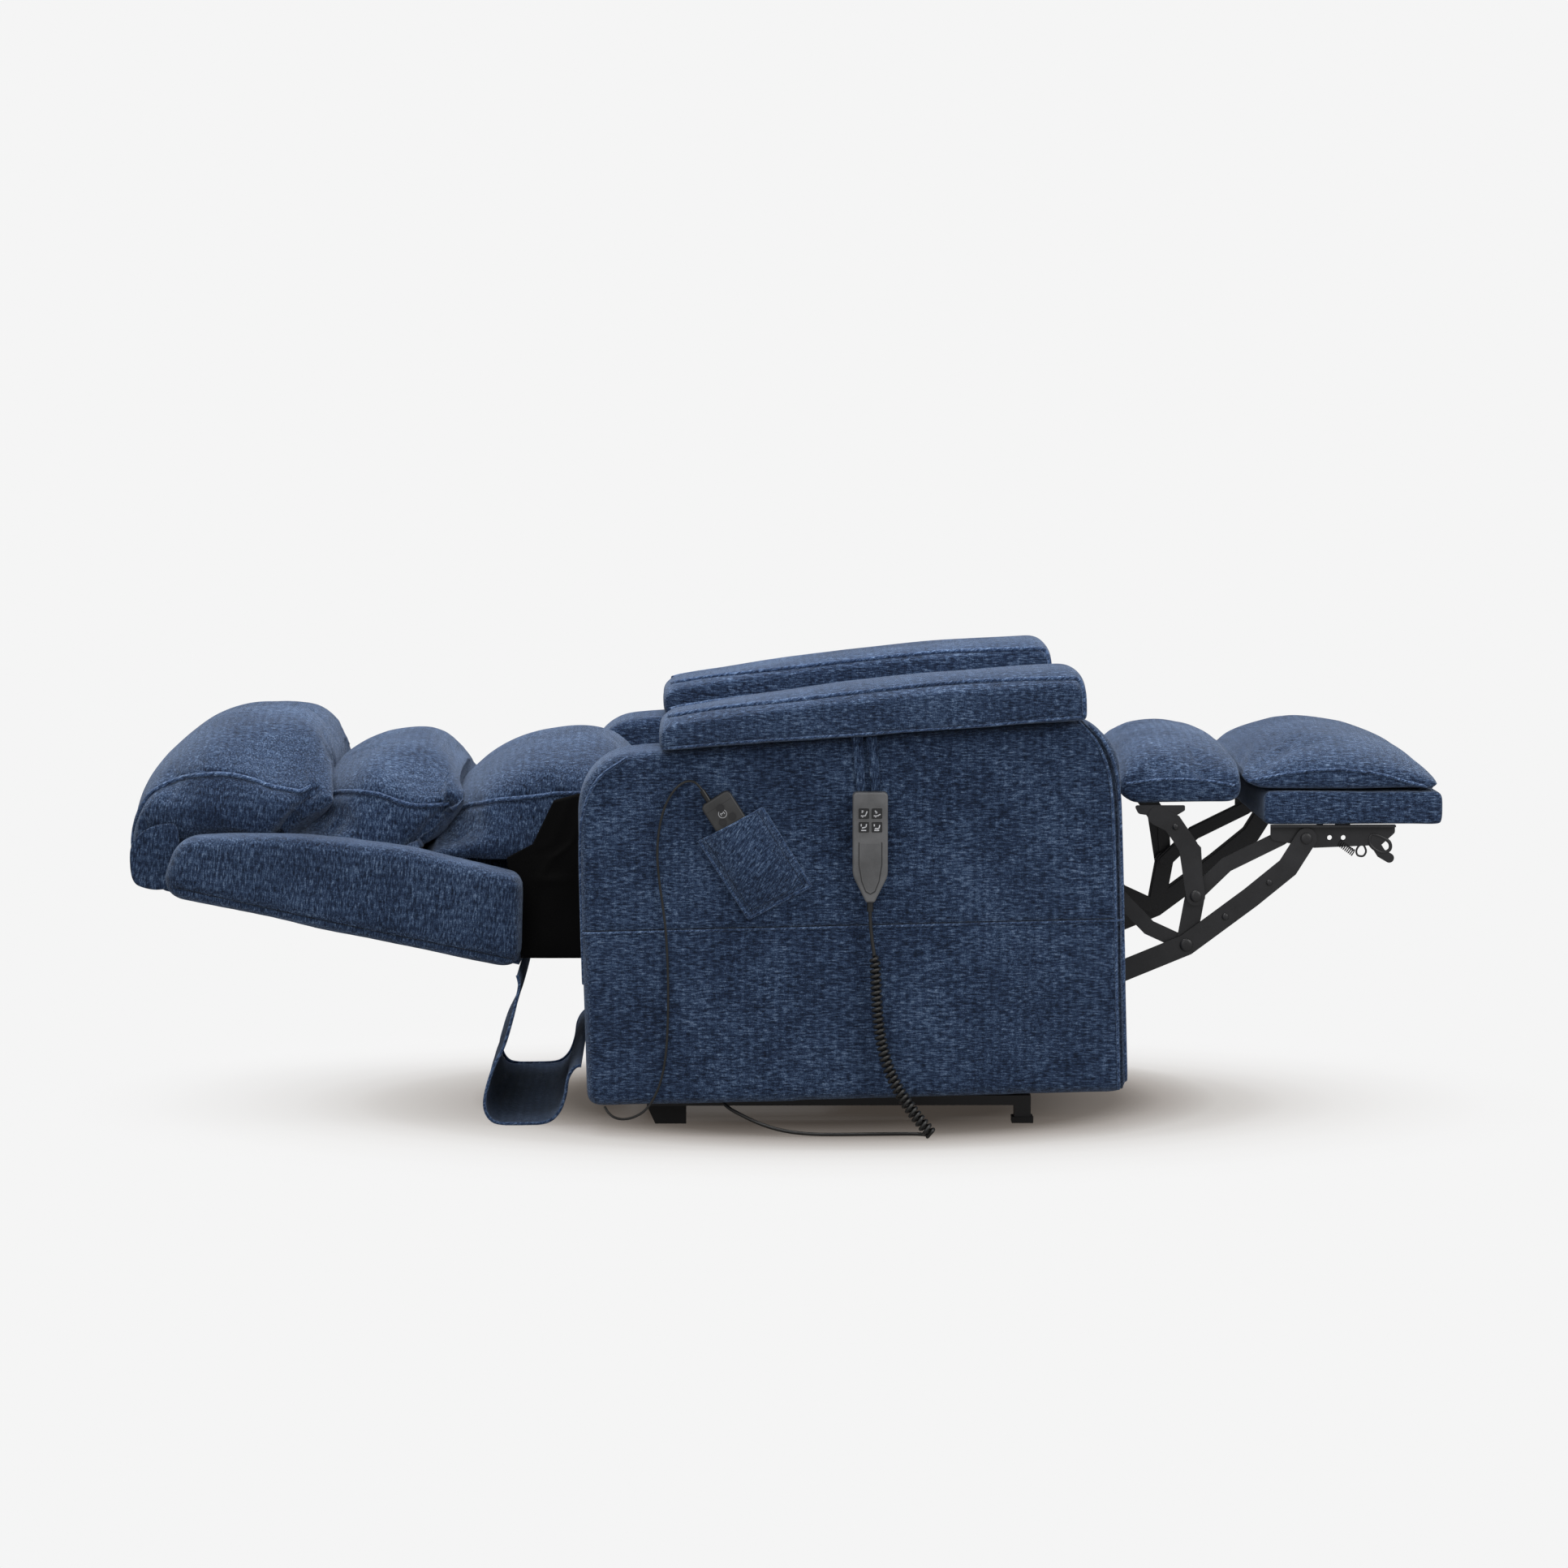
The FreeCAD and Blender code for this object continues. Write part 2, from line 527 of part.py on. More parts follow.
def seat_frame():
    middle = (g.seat_plate_bottom + g.seat_plate_top) / 2
    rail = padded("SeatRail", rounded([(g.back_pivot_x + 14, g.seat_plate_bottom, 10),
                                       (g.front_link_x, g.seat_plate_bottom, 24),
                                       (g.front_link_x, g.seat_plate_top, 10),
                                       (g.back_pivot_x + 14, g.seat_plate_top, 10)]),
                  "seat_plate", "0 - seat_plate_in")
    posts = [
        seat_post("BackPost", [(g.back_pivot_x + 30, middle), (g.back_pivot_x, g.back_pivot_z)], g.lug_radius),
        seat_post("TorquePost", [(g.front_link_x - 8, middle), (g.front_link_x, g.front_link_z)],
                  g.torque_tube + 3, [(g.front_link_x, g.front_link_z, "torque_tube + pin_clearance")]),
        seat_post("RearLinkPost", [(g.rear_link_x, middle), (g.rear_link_x, g.rear_link_z)], g.link_half),
        seat_post("BoxPost", [(g.seat_box_rear + 14, middle), (g.seat_box_rear + 14, g.seat_box_top - 16)], 14),
    ]
    back_pin = rod("BackPin", "lift_pin", "seat_plate + back_pin_reach", "back_pivot_x",
                   "0 - seat_plate_in - seat_plate", "back_pivot_z")
    rear_pin = rod("RearLinkPin", "rivet", "link_layer_in + link_layer + link_plate - seat_plate_in + 1",
                   "rear_link_x", "0 - link_layer_in - link_layer - link_plate - 1", "rear_link_z")
    legs = [box(name, "frame_rail_width", "seat_plate", "seat_plate_bottom - frame_rail_bottom - frame_rail_height + 5",
                f"{x} - frame_rail_width / 2", "0 - seat_plate_in - seat_plate", "frame_rail_bottom + frame_rail_height")
            for name, x in (("FrontLeg", "frame_rail_front"), ("RearLeg", "frame_rail_rear"))]
    motor_tube = box("MotorTube", "beam_size", "2 * seat_plate_in", "rail_width", "back_act_x + eye_radius + 6",
                     "0 - seat_plate_in", "back_act_z - rail_width / 2")
    stiffener = cross_tube("SeatStiffener", "lift_tube", "seat_plate_in", (g.back_pivot_x + 30, g.seat_plate_bottom + 20))
    ears = []
    for i, gap in enumerate(("eye_width / 2 + clevis_gap + lift_plate", "0 - eye_width / 2 - clevis_gap")):
        ear = padded(f"MotorEar{i}", strip([(g.back_act_x, g.back_act_z), (g.back_act_x + 24, g.back_act_z)],
                                           g.eye_radius), "lift_plate", f"back_act_y + {gap}")
        ears.append(ear)
    ears.append(rod("EarPin", "eye_bore - pin_clearance", "eye_width + 2 * (clevis_gap + lift_plate)", "back_act_x",
                    "back_act_y - eye_width / 2 - clevis_gap - lift_plate", "back_act_z"))
    halves = [rail, *posts, rear_pin, *legs]
    halves.append(back_pin)
    node("seat_frame", fuse("SeatFrame", *halves, *[mirrored(h) for h in halves], motor_tube, stiffener, *ears))


def seat_box():
    length = "seat_box_front - seat_box_rear"
    depth = "seat_box_top - seat_box_bottom"
    side = box("SeatSideBoard", length, "seat_board", depth, "seat_box_rear", "0 - seat_plate_in", "seat_box_bottom")
    ends = [box(name, "seat_board", "2 * seat_plate_in", depth, x, "0 - seat_plate_in", "seat_box_bottom")
            for name, x in (("FrontBoard", "seat_box_front - seat_board"), ("RearBoard", "seat_box_rear"))]
    node("seat_box", fuse("SeatBox", side, mirrored(side), *ends))
    straps = []
    for i in range(4):
        straps.append(box(f"Strap{i}", length, "strap_width", "strap_thickness", "seat_box_rear",
                          f"({i} - 1.5) * strap_step - strap_width / 2", "seat_box_top"))
    node("seat_webbing", group("SeatWebbing", *straps))


# Soft forms: sections in the X-Z plane, lofted across the width

def crowned(points, base, half, stations, centre=0.0, shrink=0.03):
    """Loft closed outlines across Y; a station is (share of half, share of the height over base)."""
    middle = sum(p[0] for p in points) / len(points)
    wires = []
    for share, height in stations:
        scale = 1 - shrink * (1 - height)
        section = [(middle + (x - middle) * scale, base + (z - base) * height if z > base else z, b * height)
                   for x, z, b in points]
        wires.append(upright(outline(section), centre + share * half))
    return Part.makeLoft(wires, True, False)


def both_ways(stations):
    """Stations from the middle outwards, repeated for both sides."""
    return [(-s, k) for s, k in reversed(stations) if s > 0] + stations


SIDE_DROP = [(0, 1.0), (0.5, 0.97), (0.8, 0.86), (0.95, 0.7), (1.0, 0.58)]
FLAT_DROP = [(0, 1.0), (0.5, 0.97), (0.8, 0.84), (0.95, 0.62), (1.0, 0.45)]


def seat_cushion():
    low, top, front = g.cushion_bottom, g.cushion_top, g.cushion_front
    points = [(g.cushion_rear_low, low, 0), (front - 14, low, -6), (front, low + 40, -8), (front - 22, top, -g.cushion_crown),
              (g.cushion_rear_top, top - 2, 0)]
    node("seat_cushion", feature("SeatCushion", crowned(points, low + 30, g.cushion_half, both_ways(FLAT_DROP))))


def back_cushions():
    head = [(-934, 392, 0), (-750, 392, 0), (-642, 540, -20), (-750, 581, -22), (-900, 535, -18), (-958, 440, -5),
            (-952, 362, -6), (-934, 341, 0)]
    middle = [(-744, 385, 0), (-554, 374, 0), (-450, 513, -14), (-567, 555, -12), (-636, 533, 0)]
    lumbar = [(-548, 374, 0), (-352, 374, 0), (-340, 430, 0), (-215, 452, -8), (-200, 515, -14), (-336, 547, -12),
              (-443, 509, 0)]
    for name, points in (("head_cushion", head), ("middle_cushion", middle), ("lumbar_cushion", lumbar)):
        base = points[0][1] + 8
        spaced = points
        node(name, feature(name.title().replace("_", ""), crowned(spaced, base, g.back_half, both_ways(SIDE_DROP))))


def wings():
    points = [(-910, 336, 30), (-385, 224, 24), (-383, 364, 24), (-549, 405, 300), (-720, 424, 300), (-880, 420, 40)]
    right = softened(padded("Wing", rounded(points), "wing_out - wing_in", "0 - wing_in"), "wing_radius",
                     on_face(g.wing_in - g.wing_out))
    node("wing_right", right)
    node("wing_left", mirrored(right))
    cover = [(-918, 352, 0), (-388, 240, 0), (-388, 224.5, 0), (-910, 335.5, 0)]
    panel = padded("RearCover", outline(cover[::-1]), "2 * wing_in - 1", "wing_in - 0.5")
    node("back_cover", panel)


def back_hinge_point(distance, degrees):
    """A point at a distance from the back hinge; degrees from +X towards +Z."""
    a = math.radians(degrees)
    return (g.back_pivot_x + distance * math.cos(a), g.back_pivot_z + distance * math.sin(a))


def back_frame():
    angle = 180 - g.back_frame_angle
    near = back_hinge_point(g.back_frame_start, angle)
    far = back_hinge_point(g.back_frame_start + g.back_frame_length, angle)
    rail = padded("BackRail", strip([near, far], g.back_rail_depth / 2), "back_rail",
                  "0 - back_frame_half + back_rail")
    hinge = (g.back_pivot_x, g.back_pivot_z)
    lever = back_hinge_point(g.back_lever, -90 - g.back_lever_angle)
    bracket = padded("BackBracket", strip([near, hinge, lever], g.lug_radius - 4), "lift_plate",
                     "0 - back_frame_half + lift_plate", [(*hinge, LIFT_HOLE)])
    tube_place = back_hinge_point(g.lever_tube_reach, -90 - g.back_lever_angle)
    tie = cross_tube("BackLeverTube", "back_lever_tube", "back_frame_half", tube_place)
    clevis = []
    for i, side in enumerate(("eye_width / 2 + clevis_gap + lift_plate", "0 - eye_width / 2 - clevis_gap")):
        clevis.append(padded(f"BackClevis{i}", strip([tube_place, lever], g.eye_radius), "lift_plate",
                             f"back_act_y + {side}"))
    bars = [cross_tube(f"BackBar{i}", "back_lever_tube", "back_frame_half - 2",
                       back_hinge_point(g.back_frame_start + g.back_frame_length * share, angle))
            for i, share in enumerate((0.03, 0.35, 0.68, 0.99))]
    node("back_frame", fuse("BackFrame", rail, mirrored(rail), bracket, mirrored(bracket), tie, *clevis, *bars))


# Arm sides and armrests, drawn level and set at the body's tilt

def arm_top(u):
    """Height of an arm side's sloping top at a distance u from its rear."""
    return g.arm_top_rear + u / g.arm_length * (g.arm_top_front - g.arm_top_rear)


def pad_underside(x):
    """Height of an armrest's underside at x."""
    lean = math.radians(g.arm_tilt)
    u = x - g.arm_rear + arm_top(x - g.arm_rear) * math.sin(lean)
    return g.arm_bottom + u * math.sin(lean) + arm_top(u) * math.cos(lean) - g.pad_gap


def tilted(obj, y="0"):
    obj.Placement = Placement(Vector(), Rotation(Vector(0, 1, 0), -g.arm_tilt))
    return bind(obj, x="arm_rear", y=y, z="arm_bottom")


def arm_sides():
    foot, length = g.arm_foot_radius, g.arm_length
    points = [(0, 0, foot), (length, 0, foot), (length, arm_top(length), g.arm_nose),
              (0, arm_top(0), g.arm_shoulder)]
    side = padded("ArmSide", rounded(points), "arm_width", "0 - arm_inner")
    softened(side, "arm_edge_radius", on_face(-g.arm_width))
    right = tilted(side, "0 - arm_inner")
    node("arm_side_right", right)
    node("arm_side_left", mirrored(right))


def arm_glides():
    discs = []
    for i, place in enumerate(("glide_inset", "arm_length - glide_inset")):
        disc = doc.addObject("Part::Cylinder", f"Glide{i}")
        disc.Placement = Placement(Vector(), Rotation(Vector(0, 1, 0), -g.arm_tilt))
        bind(disc, Radius="glide_radius", Height="glide_height",
             x=f"arm_rear + ({place}) * cos(arm_tilt) + glide_height * sin(arm_tilt)",
             y="0 - arm_inner - arm_width / 2",
             z=f"arm_bottom + ({place}) * sin(arm_tilt) - glide_height * cos(arm_tilt)")
        discs += [disc, mirrored(disc)]
    node("arm_glides", group("ArmGlides", *discs))


ARM_STATIONS = [(0, 0.78), (0.12, 0.95), (0.5, 1.0), (0.88, 0.95), (1.0, 0.7)]


def armrests():
    start, end = g.pad_start, g.pad_end
    low_start, low_end = arm_top(start) + g.pad_gap, arm_top(end) + g.pad_gap
    rear, front, nose = g.pad_rear_height, g.pad_front_height, g.pad_nose
    wires = []
    for share, height in ARM_STATIONS:
        points = [(start, low_start, 0), (end, low_end, 0), (end, low_end + (front - nose) * height, -8 * height),
                  (end - nose, low_end + front * height, -9 * height),
                  (start + 34, low_start + rear * height, -5 * height), (start, low_start + rear * 0.62 * height, 0)]
        wires.append(upright(outline(points), -g.arm_inner - share * (g.arm_width + g.pad_overhang)))
    right = tilted(feature("Armrest", Part.makeLoft(wires, True, False)))
    node("armrest_right", right)
    node("armrest_left", mirrored(right))


# Legrest linkage: flat bars in four layers on each side, counted from the inside

KNEE = (g.knee_x, g.knee_z)
SHIN = (g.shin_x, g.shin_z)
TAIL = (g.tail_x, g.tail_z)
TOE = (g.toe_x, g.toe_z)
HEEL = (g.heel_x, g.toe_z)
RIVET_HOLE = "rivet + pin_clearance"
INNER_LAYER, FRONT_LAYER, OUTER_LAYER, MIDDLE_LAYER = range(4)


def layer(index):
    """Inner face of a link layer, as an expression in Y."""
    return f"0 - link_layer_in - {index} * link_layer"


def bar(name, path, index, holes=(), half=None):
    return padded(name, strip(path, half or g.link_half), "link_plate", layer(index), holes)


def rivet(name, point, first, last):
    """A shank through two layers with a head on its outer side."""
    return rod(name, "rivet", f"({last} - {first}) * link_layer + link_plate + rivet_head_height", str(point[0]),
               f"0 - link_layer_in - {last} * link_layer - link_plate - rivet_head_height", str(point[1]))


def legrest_links():
    hinge = (g.front_link_x, g.front_link_z)
    bend = along(hinge, KNEE, 120)
    leg = bar("FrontLegBar", [hinge, (bend[0] - 6, bend[1] - 14), KNEE], FRONT_LAYER, [(*KNEE, RIVET_HOLE)])
    riser = bar("FrontLegRiser", [KNEE, SHIN], FRONT_LAYER, [(*KNEE, RIVET_HOLE)])
    tube = cross_tube("TorqueTube", "torque_tube", "link_layer_in + link_layer + 1", hinge)
    shin_rivet = rivet("ShinRivet", SHIN, INNER_LAYER, FRONT_LAYER)
    halves = [leg, riser, shin_rivet]
    node("front_leg_link", fuse("FrontLegLink", *halves, *[mirrored(h) for h in halves], tube))

    knee_rivet = rivet("KneeRivet", KNEE, FRONT_LAYER, OUTER_LAYER)
    toe_rivet = rivet("ToeRivet", TOE, FRONT_LAYER, OUTER_LAYER)
    long_bar = bar("OuterLegBar", [TAIL, KNEE, (677, 324), (731, 368), TOE], OUTER_LAYER)
    halves = [long_bar, knee_rivet, toe_rivet]
    node("outer_leg_link", fuse("OuterLegLink", *halves, *[mirrored(h) for h in halves]))

    inner = bar("InnerLegBar", [SHIN, (642, 371), HEEL], INNER_LAYER, [(*SHIN, RIVET_HOLE)], half=8)
    node("inner_leg_link", group("InnerLegLink", inner, mirrored(inner)))

    rear_hinge = (g.rear_link_x, g.rear_link_z)
    rear = bar("RearLegBar", [rear_hinge, TAIL], FRONT_LAYER, [(*rear_hinge, RIVET_HOLE)])
    node("rear_leg_link", group("RearLegLink", rear, mirrored(rear)))


def foot_brackets():
    top = g.board_bottom
    rear, front = g.flange_rear, g.flange_front
    points = [(rear, top, 2), (rear, top - 22, 8), (rear + 64, top - 34, 6), (front - 20, top - 30, 6),
              (front, top - 12, 6), (front, top, 2)]
    plate = padded("FootPlate", rounded(points[::-1]), "link_plate", layer(FRONT_LAYER),
                   [(*TOE, RIVET_HOLE), (front - 95.5, top - 19, "rivet_head - 4.5"),
                    (front - 75.6, top - 19, "rivet_head - 4.5")])
    flange = box("FootFlange", "flange_front - flange_rear", "leg_half - link_layer_in - link_layer", "link_plate",
                 "flange_rear", "0 - leg_half", "board_bottom - link_plate")
    hook = bar("FootHook", [(front - 30, top - 26), (front - 20, top - 42), (front - 8, top - 49)], FRONT_LAYER,
               half=7)
    halves = [plate, flange, hook]
    node("foot_bracket", fuse("FootBracket", *halves, *[mirrored(h) for h in halves]))


def middle_brackets():
    rear, top = g.mid_pad_rear - 2, g.mid_pad_bottom - 0.5
    flange = padded("MiddleFlange", rounded([(rear, top, 3), (rear + 6, top - 12.5, 6), (rear + 54, top - 19.5, 8),
                                             (rear + 74, top - 7.5, 3), (rear + 74, top, 2)]), "link_plate",
                    layer(MIDDLE_LAYER))
    arm = bar("MiddleArm", [(rear + 28, top - 12.5), (rear + 54, top - 29.5), (g.shin_x - 1.3, top - 65.5),
                            (g.shin_x + 1.7, g.shin_z + 18.4)], MIDDLE_LAYER, half=9)
    halves = [flange, arm]
    node("middle_bracket", fuse("MiddleBracket", *halves, *[mirrored(h) for h in halves]))


def leg_pads():
    rear, front, low = g.mid_pad_rear, g.mid_pad_front, g.mid_pad_bottom
    middle = [(rear, low, 0), (front - 15, low, -4), (front, low + 20, 0), (front, low + 71, -6),
              (front - 55, low + 89, -4), (rear + 20, low + 92, -14), (rear - 27, low + 55, -6),
              (rear - 24, low + 14, -3)]
    node("middle_pad", feature("MiddlePad", crowned(middle, low + 14, g.leg_half, both_ways(FLAT_DROP))))
    base = g.board_top
    rear, front = g.board_rear, g.board_front
    outer = [(rear, base, 0), (front - 12, base, -3), (front - 1, base + 14, -6), (front - 65, base + 58, -4),
             (rear + 78, base + 80, -8), (rear - 30, base + 40, -3), (rear - 31, base + 20, 0)]
    node("outer_pad", feature("OuterPad", crowned(outer, base + 10, g.leg_half, both_ways(FLAT_DROP))))
    board = padded("FootBoard", rounded([(g.board_rear, g.board_bottom, 8), (g.board_front, g.board_bottom, 8),
                                         (g.board_front, base, 8), (g.board_rear, base, 8)]),
                   "2 * leg_half", "leg_half")
    node("foot_board", board)


# Actuators: a gear case with motor and outer tube, and a push rod

def actuator(label, rear, front, y, motor_side):
    """Rear pin and rod pin are (x, z) points; the motor hangs on motor_side of the tube."""
    reach = math.hypot(front[0] - rear[0], front[1] - rear[1])
    tilt = math.degrees(math.atan2(front[1] - rear[1], front[0] - rear[0]))
    name = label.title().replace("_", "")
    eye = rod(name + "Eye", "eye_radius", "eye_width", "0", "0 - eye_width / 2", "0")
    neck = box(name + "Neck", "eye_radius + case_gap + 4", "eye_width", "eye_neck", "0", "0 - eye_width / 2",
               "0 - eye_neck / 2")
    case = box(name + "Case", "case_length", "case_width", "case_height", "eye_radius + case_gap",
               "0 - case_width / 2", "0 - case_height / 2")
    tube = rod(name + "Tube", "outer_tube", f"{reach} - 3 * eye_radius - case_length - 20", "case_length", "0", "0",
               (1, 0, 0))
    motor = rod(name + "Motor", "motor_radius", "motor_length", "case_length / 2 + eye_radius",
                f"{motor_side} * case_width / 2", "0", (0, motor_side, 0))
    bore = rod(name + "Bore", "rod_radius + rod_clearance", str(reach), "case_length - 20", "0", "0", (1, 0, 0))
    hole = rod(name + "Hole", "eye_bore", "eye_width + 2", "0", "0 - eye_width / 2 - 1", "0")
    housing = cut(name + "Bored", fuse(name + "Shell", eye, neck, case, tube, motor),
                  group(name + "Tools", bore, hole))
    stem = rod(name + "Stem", "rod_radius", f"{reach} - case_length + 20 - shank_length", "case_length - 18", "0",
               "0", (1, 0, 0))
    shank = box(name + "Shank", "shank_length", "eye_width", "eye_neck", f"{reach} - shank_length",
                "0 - eye_width / 2", "0 - eye_neck / 2")
    end = rod(name + "End", "eye_radius", "eye_width", str(reach), "0 - eye_width / 2", "0")
    end_hole = rod(name + "EndHole", "eye_bore", "eye_width + 2", str(reach), "0 - eye_width / 2 - 1", "0")
    push = cut(name + "Push", fuse(name + "Bar", stem, shank, end), end_hole)
    for obj, suffix in ((housing, "_motor"), (push, "_rod")):
        obj.Placement = Placement(Vector(rear[0], y, rear[1]), Rotation(Vector(0, 1, 0), -tilt))
        node(label + suffix, obj)


def actuators():
    actuator("lift_actuator", (g.lift_act_x, g.lift_act_z), (g.lift_rod_x, g.lift_rod_z), 0, 1)
    back_rod = back_hinge_point(g.back_lever, -90 - g.back_lever_angle)
    actuator("back_actuator", (g.back_act_x, g.back_act_z), back_rod, g.back_act_y, 1)


# Control box and power supply under the seat

def electrics():
    control = box("ControlBox", "110", "90", "38", "back_act_x - 22", "0 - 190", "back_act_z + rail_width / 2")
    supply = box("PowerSupply", "150", "80", "50", "frame_rail_front - 75", "0 - 205",
                 "frame_rail_bottom + frame_rail_height")
    node("control_box", control)
    node("power_supply", supply)


# Back skirt and dust cloth

def cloth_strip(points):
    """Closed outline of a cloth of even thickness that follows (x, z) points."""
    half = g.cloth / 2
    pts = [flat(*p) for p in points]
    left, right = [], []
    for i, p in enumerate(pts):
        ahead = pts[min(i + 1, len(pts) - 1)] - pts[max(i - 1, 0)]
        side = Vector(-ahead.y, ahead.x, 0).normalize() * half
        left.append(p + side)
        right.append(p - side)
    loop = left + right[::-1]
    return [Part.LineSegment(a, b) for a, b in zip(loop, loop[1:] + loop[:1])]


def hanging_cloth():
    skirt = [(-392, 219), (-386, 205), (-392, 182), (-400, 150), (-410, 118), (-426, 85), (-438, 46), (-437, 20),
             (-427, 6), (-410, 2.2), (-385, 2.2), (-350, 4), (-332, 21), (-322, 46), (-318, 68), (-311, 84),
             (-299, 89)]
    node("back_skirt", padded("BackSkirt", cloth_strip(skirt), "2 * skirt_half", "skirt_half"))
    side = [(-382, 244, 0), (-305, 244, 0), (-305, 460, 0), (-337, 460, 0), (-357, 372, 0), (-382, 360, 0)]
    sheet_side = padded("DustSide", outline(side), "cloth", "0 - dust_half")
    node("dust_cloth", group("DustCloth", sheet_side, mirrored(sheet_side)))


# Handset, strap and buttons

def handset_outline(inset=0.0):
    half = g.handset_width / 2 - inset
    x, top, low, tip = g.handset_x, g.handset_top - inset, g.handset_taper, g.handset_tip + inset
    return rounded([(x - half, low, 30), (x - 6, tip, 3), (x + 6, tip, 3), (x + half, low, 30),
                    (x + half, top, 6), (x - half, top, 6)])


BUTTONS = {"back_up": (-1, 0), "back_down": (1, 0), "lift_up": (-1, 1), "lift_down": (1, 1)}


def button_centre(column, row):
    return (g.handset_x + column * g.button_step_x / 2, g.button_top - row * g.button_step_z)


def handset():
    back = padded("HandsetBack", handset_outline(), "handset_split - handset_back", "0 - handset_back")
    node("handset_back_shell", softened(back, "1.5", on_face(0)))
    face = padded("HandsetFace", handset_outline(), "handset_face - handset_split", "0 - handset_split")
    softened(face, "3", on_face(-(g.handset_face - g.handset_split)))
    wells = []
    well = "button_side + 2 * button_gap"
    for label, place in BUTTONS.items():
        x, z = button_centre(*place)
        wells.append(box(f"Well{label}", well, "button_depth + 1", well, f"{x} - button_side / 2 - button_gap",
                         "0 - handset_face - 1", f"{z} - button_side / 2 - button_gap"))
        key = box(f"Key{label}", "button_side", "button_rise + button_stem", "button_side",
                  f"{x} - button_side / 2", "0 - handset_face - button_rise", f"{z} - button_side / 2")
        node(f"button_{label}", key)
    node("handset_face_shell", cut("HandsetShell", face, group("Wells", *wells)))
    relief = rod("HandsetRelief", "lead_radius + 2", "14", "handset_x", "0 - handset_split", "handset_tip - 14",
                 (0, 0, 1))
    node("handset_relief", relief)
    x = g.handset_x
    high = pad_underside(x - 20)
    strands = []
    for i, (foot, width) in enumerate(((x - 20, 15), (x + 2, 15))):
        strand = [(foot, g.handset_top + 0.5, 0), (foot + width, g.handset_top + 0.5, 0),
                  (x + 12 if i else x - 4, high, 0), (x - 1 if i else x - 14, high, 0)]
        strands.append(padded(f"StrapStrand{i}", outline(strand), "cloth", "0 - arm_inner - arm_width - side_gap"))
    node("handset_strap", group("HandsetStrap", *strands))


# Second control in its pocket

def leaned(obj, y, shift="0"):
    """Turn a piece drawn upright to the lean of the control and set it out from the arm side by y."""
    obj.Placement = Placement(Vector(), Rotation(Vector(0, 1, 0), -g.control_lean))
    return bind(obj, x=f"control_x + ({shift}) * cos(control_lean)", y=f"0 - arm_inner - arm_width - ({y})",
                z=f"control_z + ({shift}) * sin(control_lean)")


def pocket_and_control():
    half, length = g.control_width / 2, g.control_length
    body = padded("Control", rounded([(-half, -length, 6), (half, -length, 6), (half, 0, 8), (-half, 0, 8)]),
                  "control_depth", "0")
    softened(body, "3", on_face(-g.control_depth))
    node("control_case", leaned(body, "side_gap"))
    keys = group("ControlKeys", *[rod(f"ControlKey{i}", "5.5", "1.2", str(x), "0 - control_depth - 1.2", str(z))
                                  for i, (x, z) in enumerate(((0, -17), (-8, -36), (8, -36)))])
    node("control_keys", leaned(keys, "side_gap"))
    relief = rod("ControlRelief", "thin_lead + 2.2", "18", "0", "0", "0", (0, 0, 1))
    node("control_relief", leaned(relief, "side_gap + control_depth / 2", "0 - relief_offset"))
    w, drop, wall = g.pocket_width / 2, g.pocket_drop, g.pocket_wall
    depth = g.control_depth + g.pocket_slack
    outer = padded("PocketOuter", rounded([(-w, -drop - g.pocket_length, 6), (w, -drop - g.pocket_length, 6),
                                           (w, -drop, 2), (-w, -drop, 2)]), f"{depth + wall}", "0")
    hollow = box("PocketHollow", "pocket_width - 2 * pocket_wall", str(depth), "pocket_length + 4",
                 "0 - pocket_width / 2 + pocket_wall", f"0 - {depth}", "pocket_wall - pocket_drop - pocket_length")
    node("pocket", leaned(cut("Pocket", outer, hollow), "0"))


# Cords: straight runs joined by tangent arcs

def tangent_arc(before, corner, after):
    """Arc that touches both runs at equal distances from their corner."""
    bisector = (before + after) * 0.5 - corner
    half = (before - corner).getAngle(after - corner) / 2
    reach = (before - corner).Length
    bend = reach * math.tan(half)
    to_middle = reach / math.cos(half) - bend
    return Part.Arc(before, corner + bisector.normalize() * to_middle, after).toShape(), bend


def routed(route):
    """Path of straight runs and arcs; each arc takes 0.45 of its shorter run."""
    pts = [Vector(*p) for p in route]
    edges, last, radii = [], pts[0], []
    for before, here, after in zip(pts, pts[1:], pts[2:]):
        a, b = before - here, after - here
        reach = 0.45 * min(a.Length, b.Length)
        start, end = here + a.normalize() * reach, here + b.normalize() * reach
        arc, bend = tangent_arc(start, here, end)
        edges += [Part.LineSegment(last, start).toShape(), arc]
        radii.append(bend)
        last = end
    edges.append(Part.LineSegment(last, pts[-1]).toShape())
    return edges, radii


def tube_along(name, edges, radius, sides=0):
    """A tube along a path: round, or with a number of flat sides."""
    path = Part.Wire(edges)
    start = edges[0].valueAt(edges[0].FirstParameter)
    ahead = edges[0].tangentAt(edges[0].FirstParameter)
    if sides:
        out = ahead.cross(Vector(0, 1, 0)).normalize() * radius
        corners = [start + Rotation(ahead, 360 * i / sides).multVec(out) for i in range(sides)]
        section = Part.makePolygon(corners + corners[:1])
    else:
        section = Part.Wire([Part.Circle(start, ahead, radius).toShape()])
    tube = path.makePipeShell([section], True, False)
    share = tube.Volume / (Part.Face(section).Area * path.Length)
    print(name, "length", round(path.Length), "volume share", round(share, 4))
    return feature(name, tube)


def cord(name, route, radius):
    edges, radii = routed(beside_arm(route))
    print(name, "radii", [round(r, 1) for r in radii])
    return tube_along(name, edges, radius)


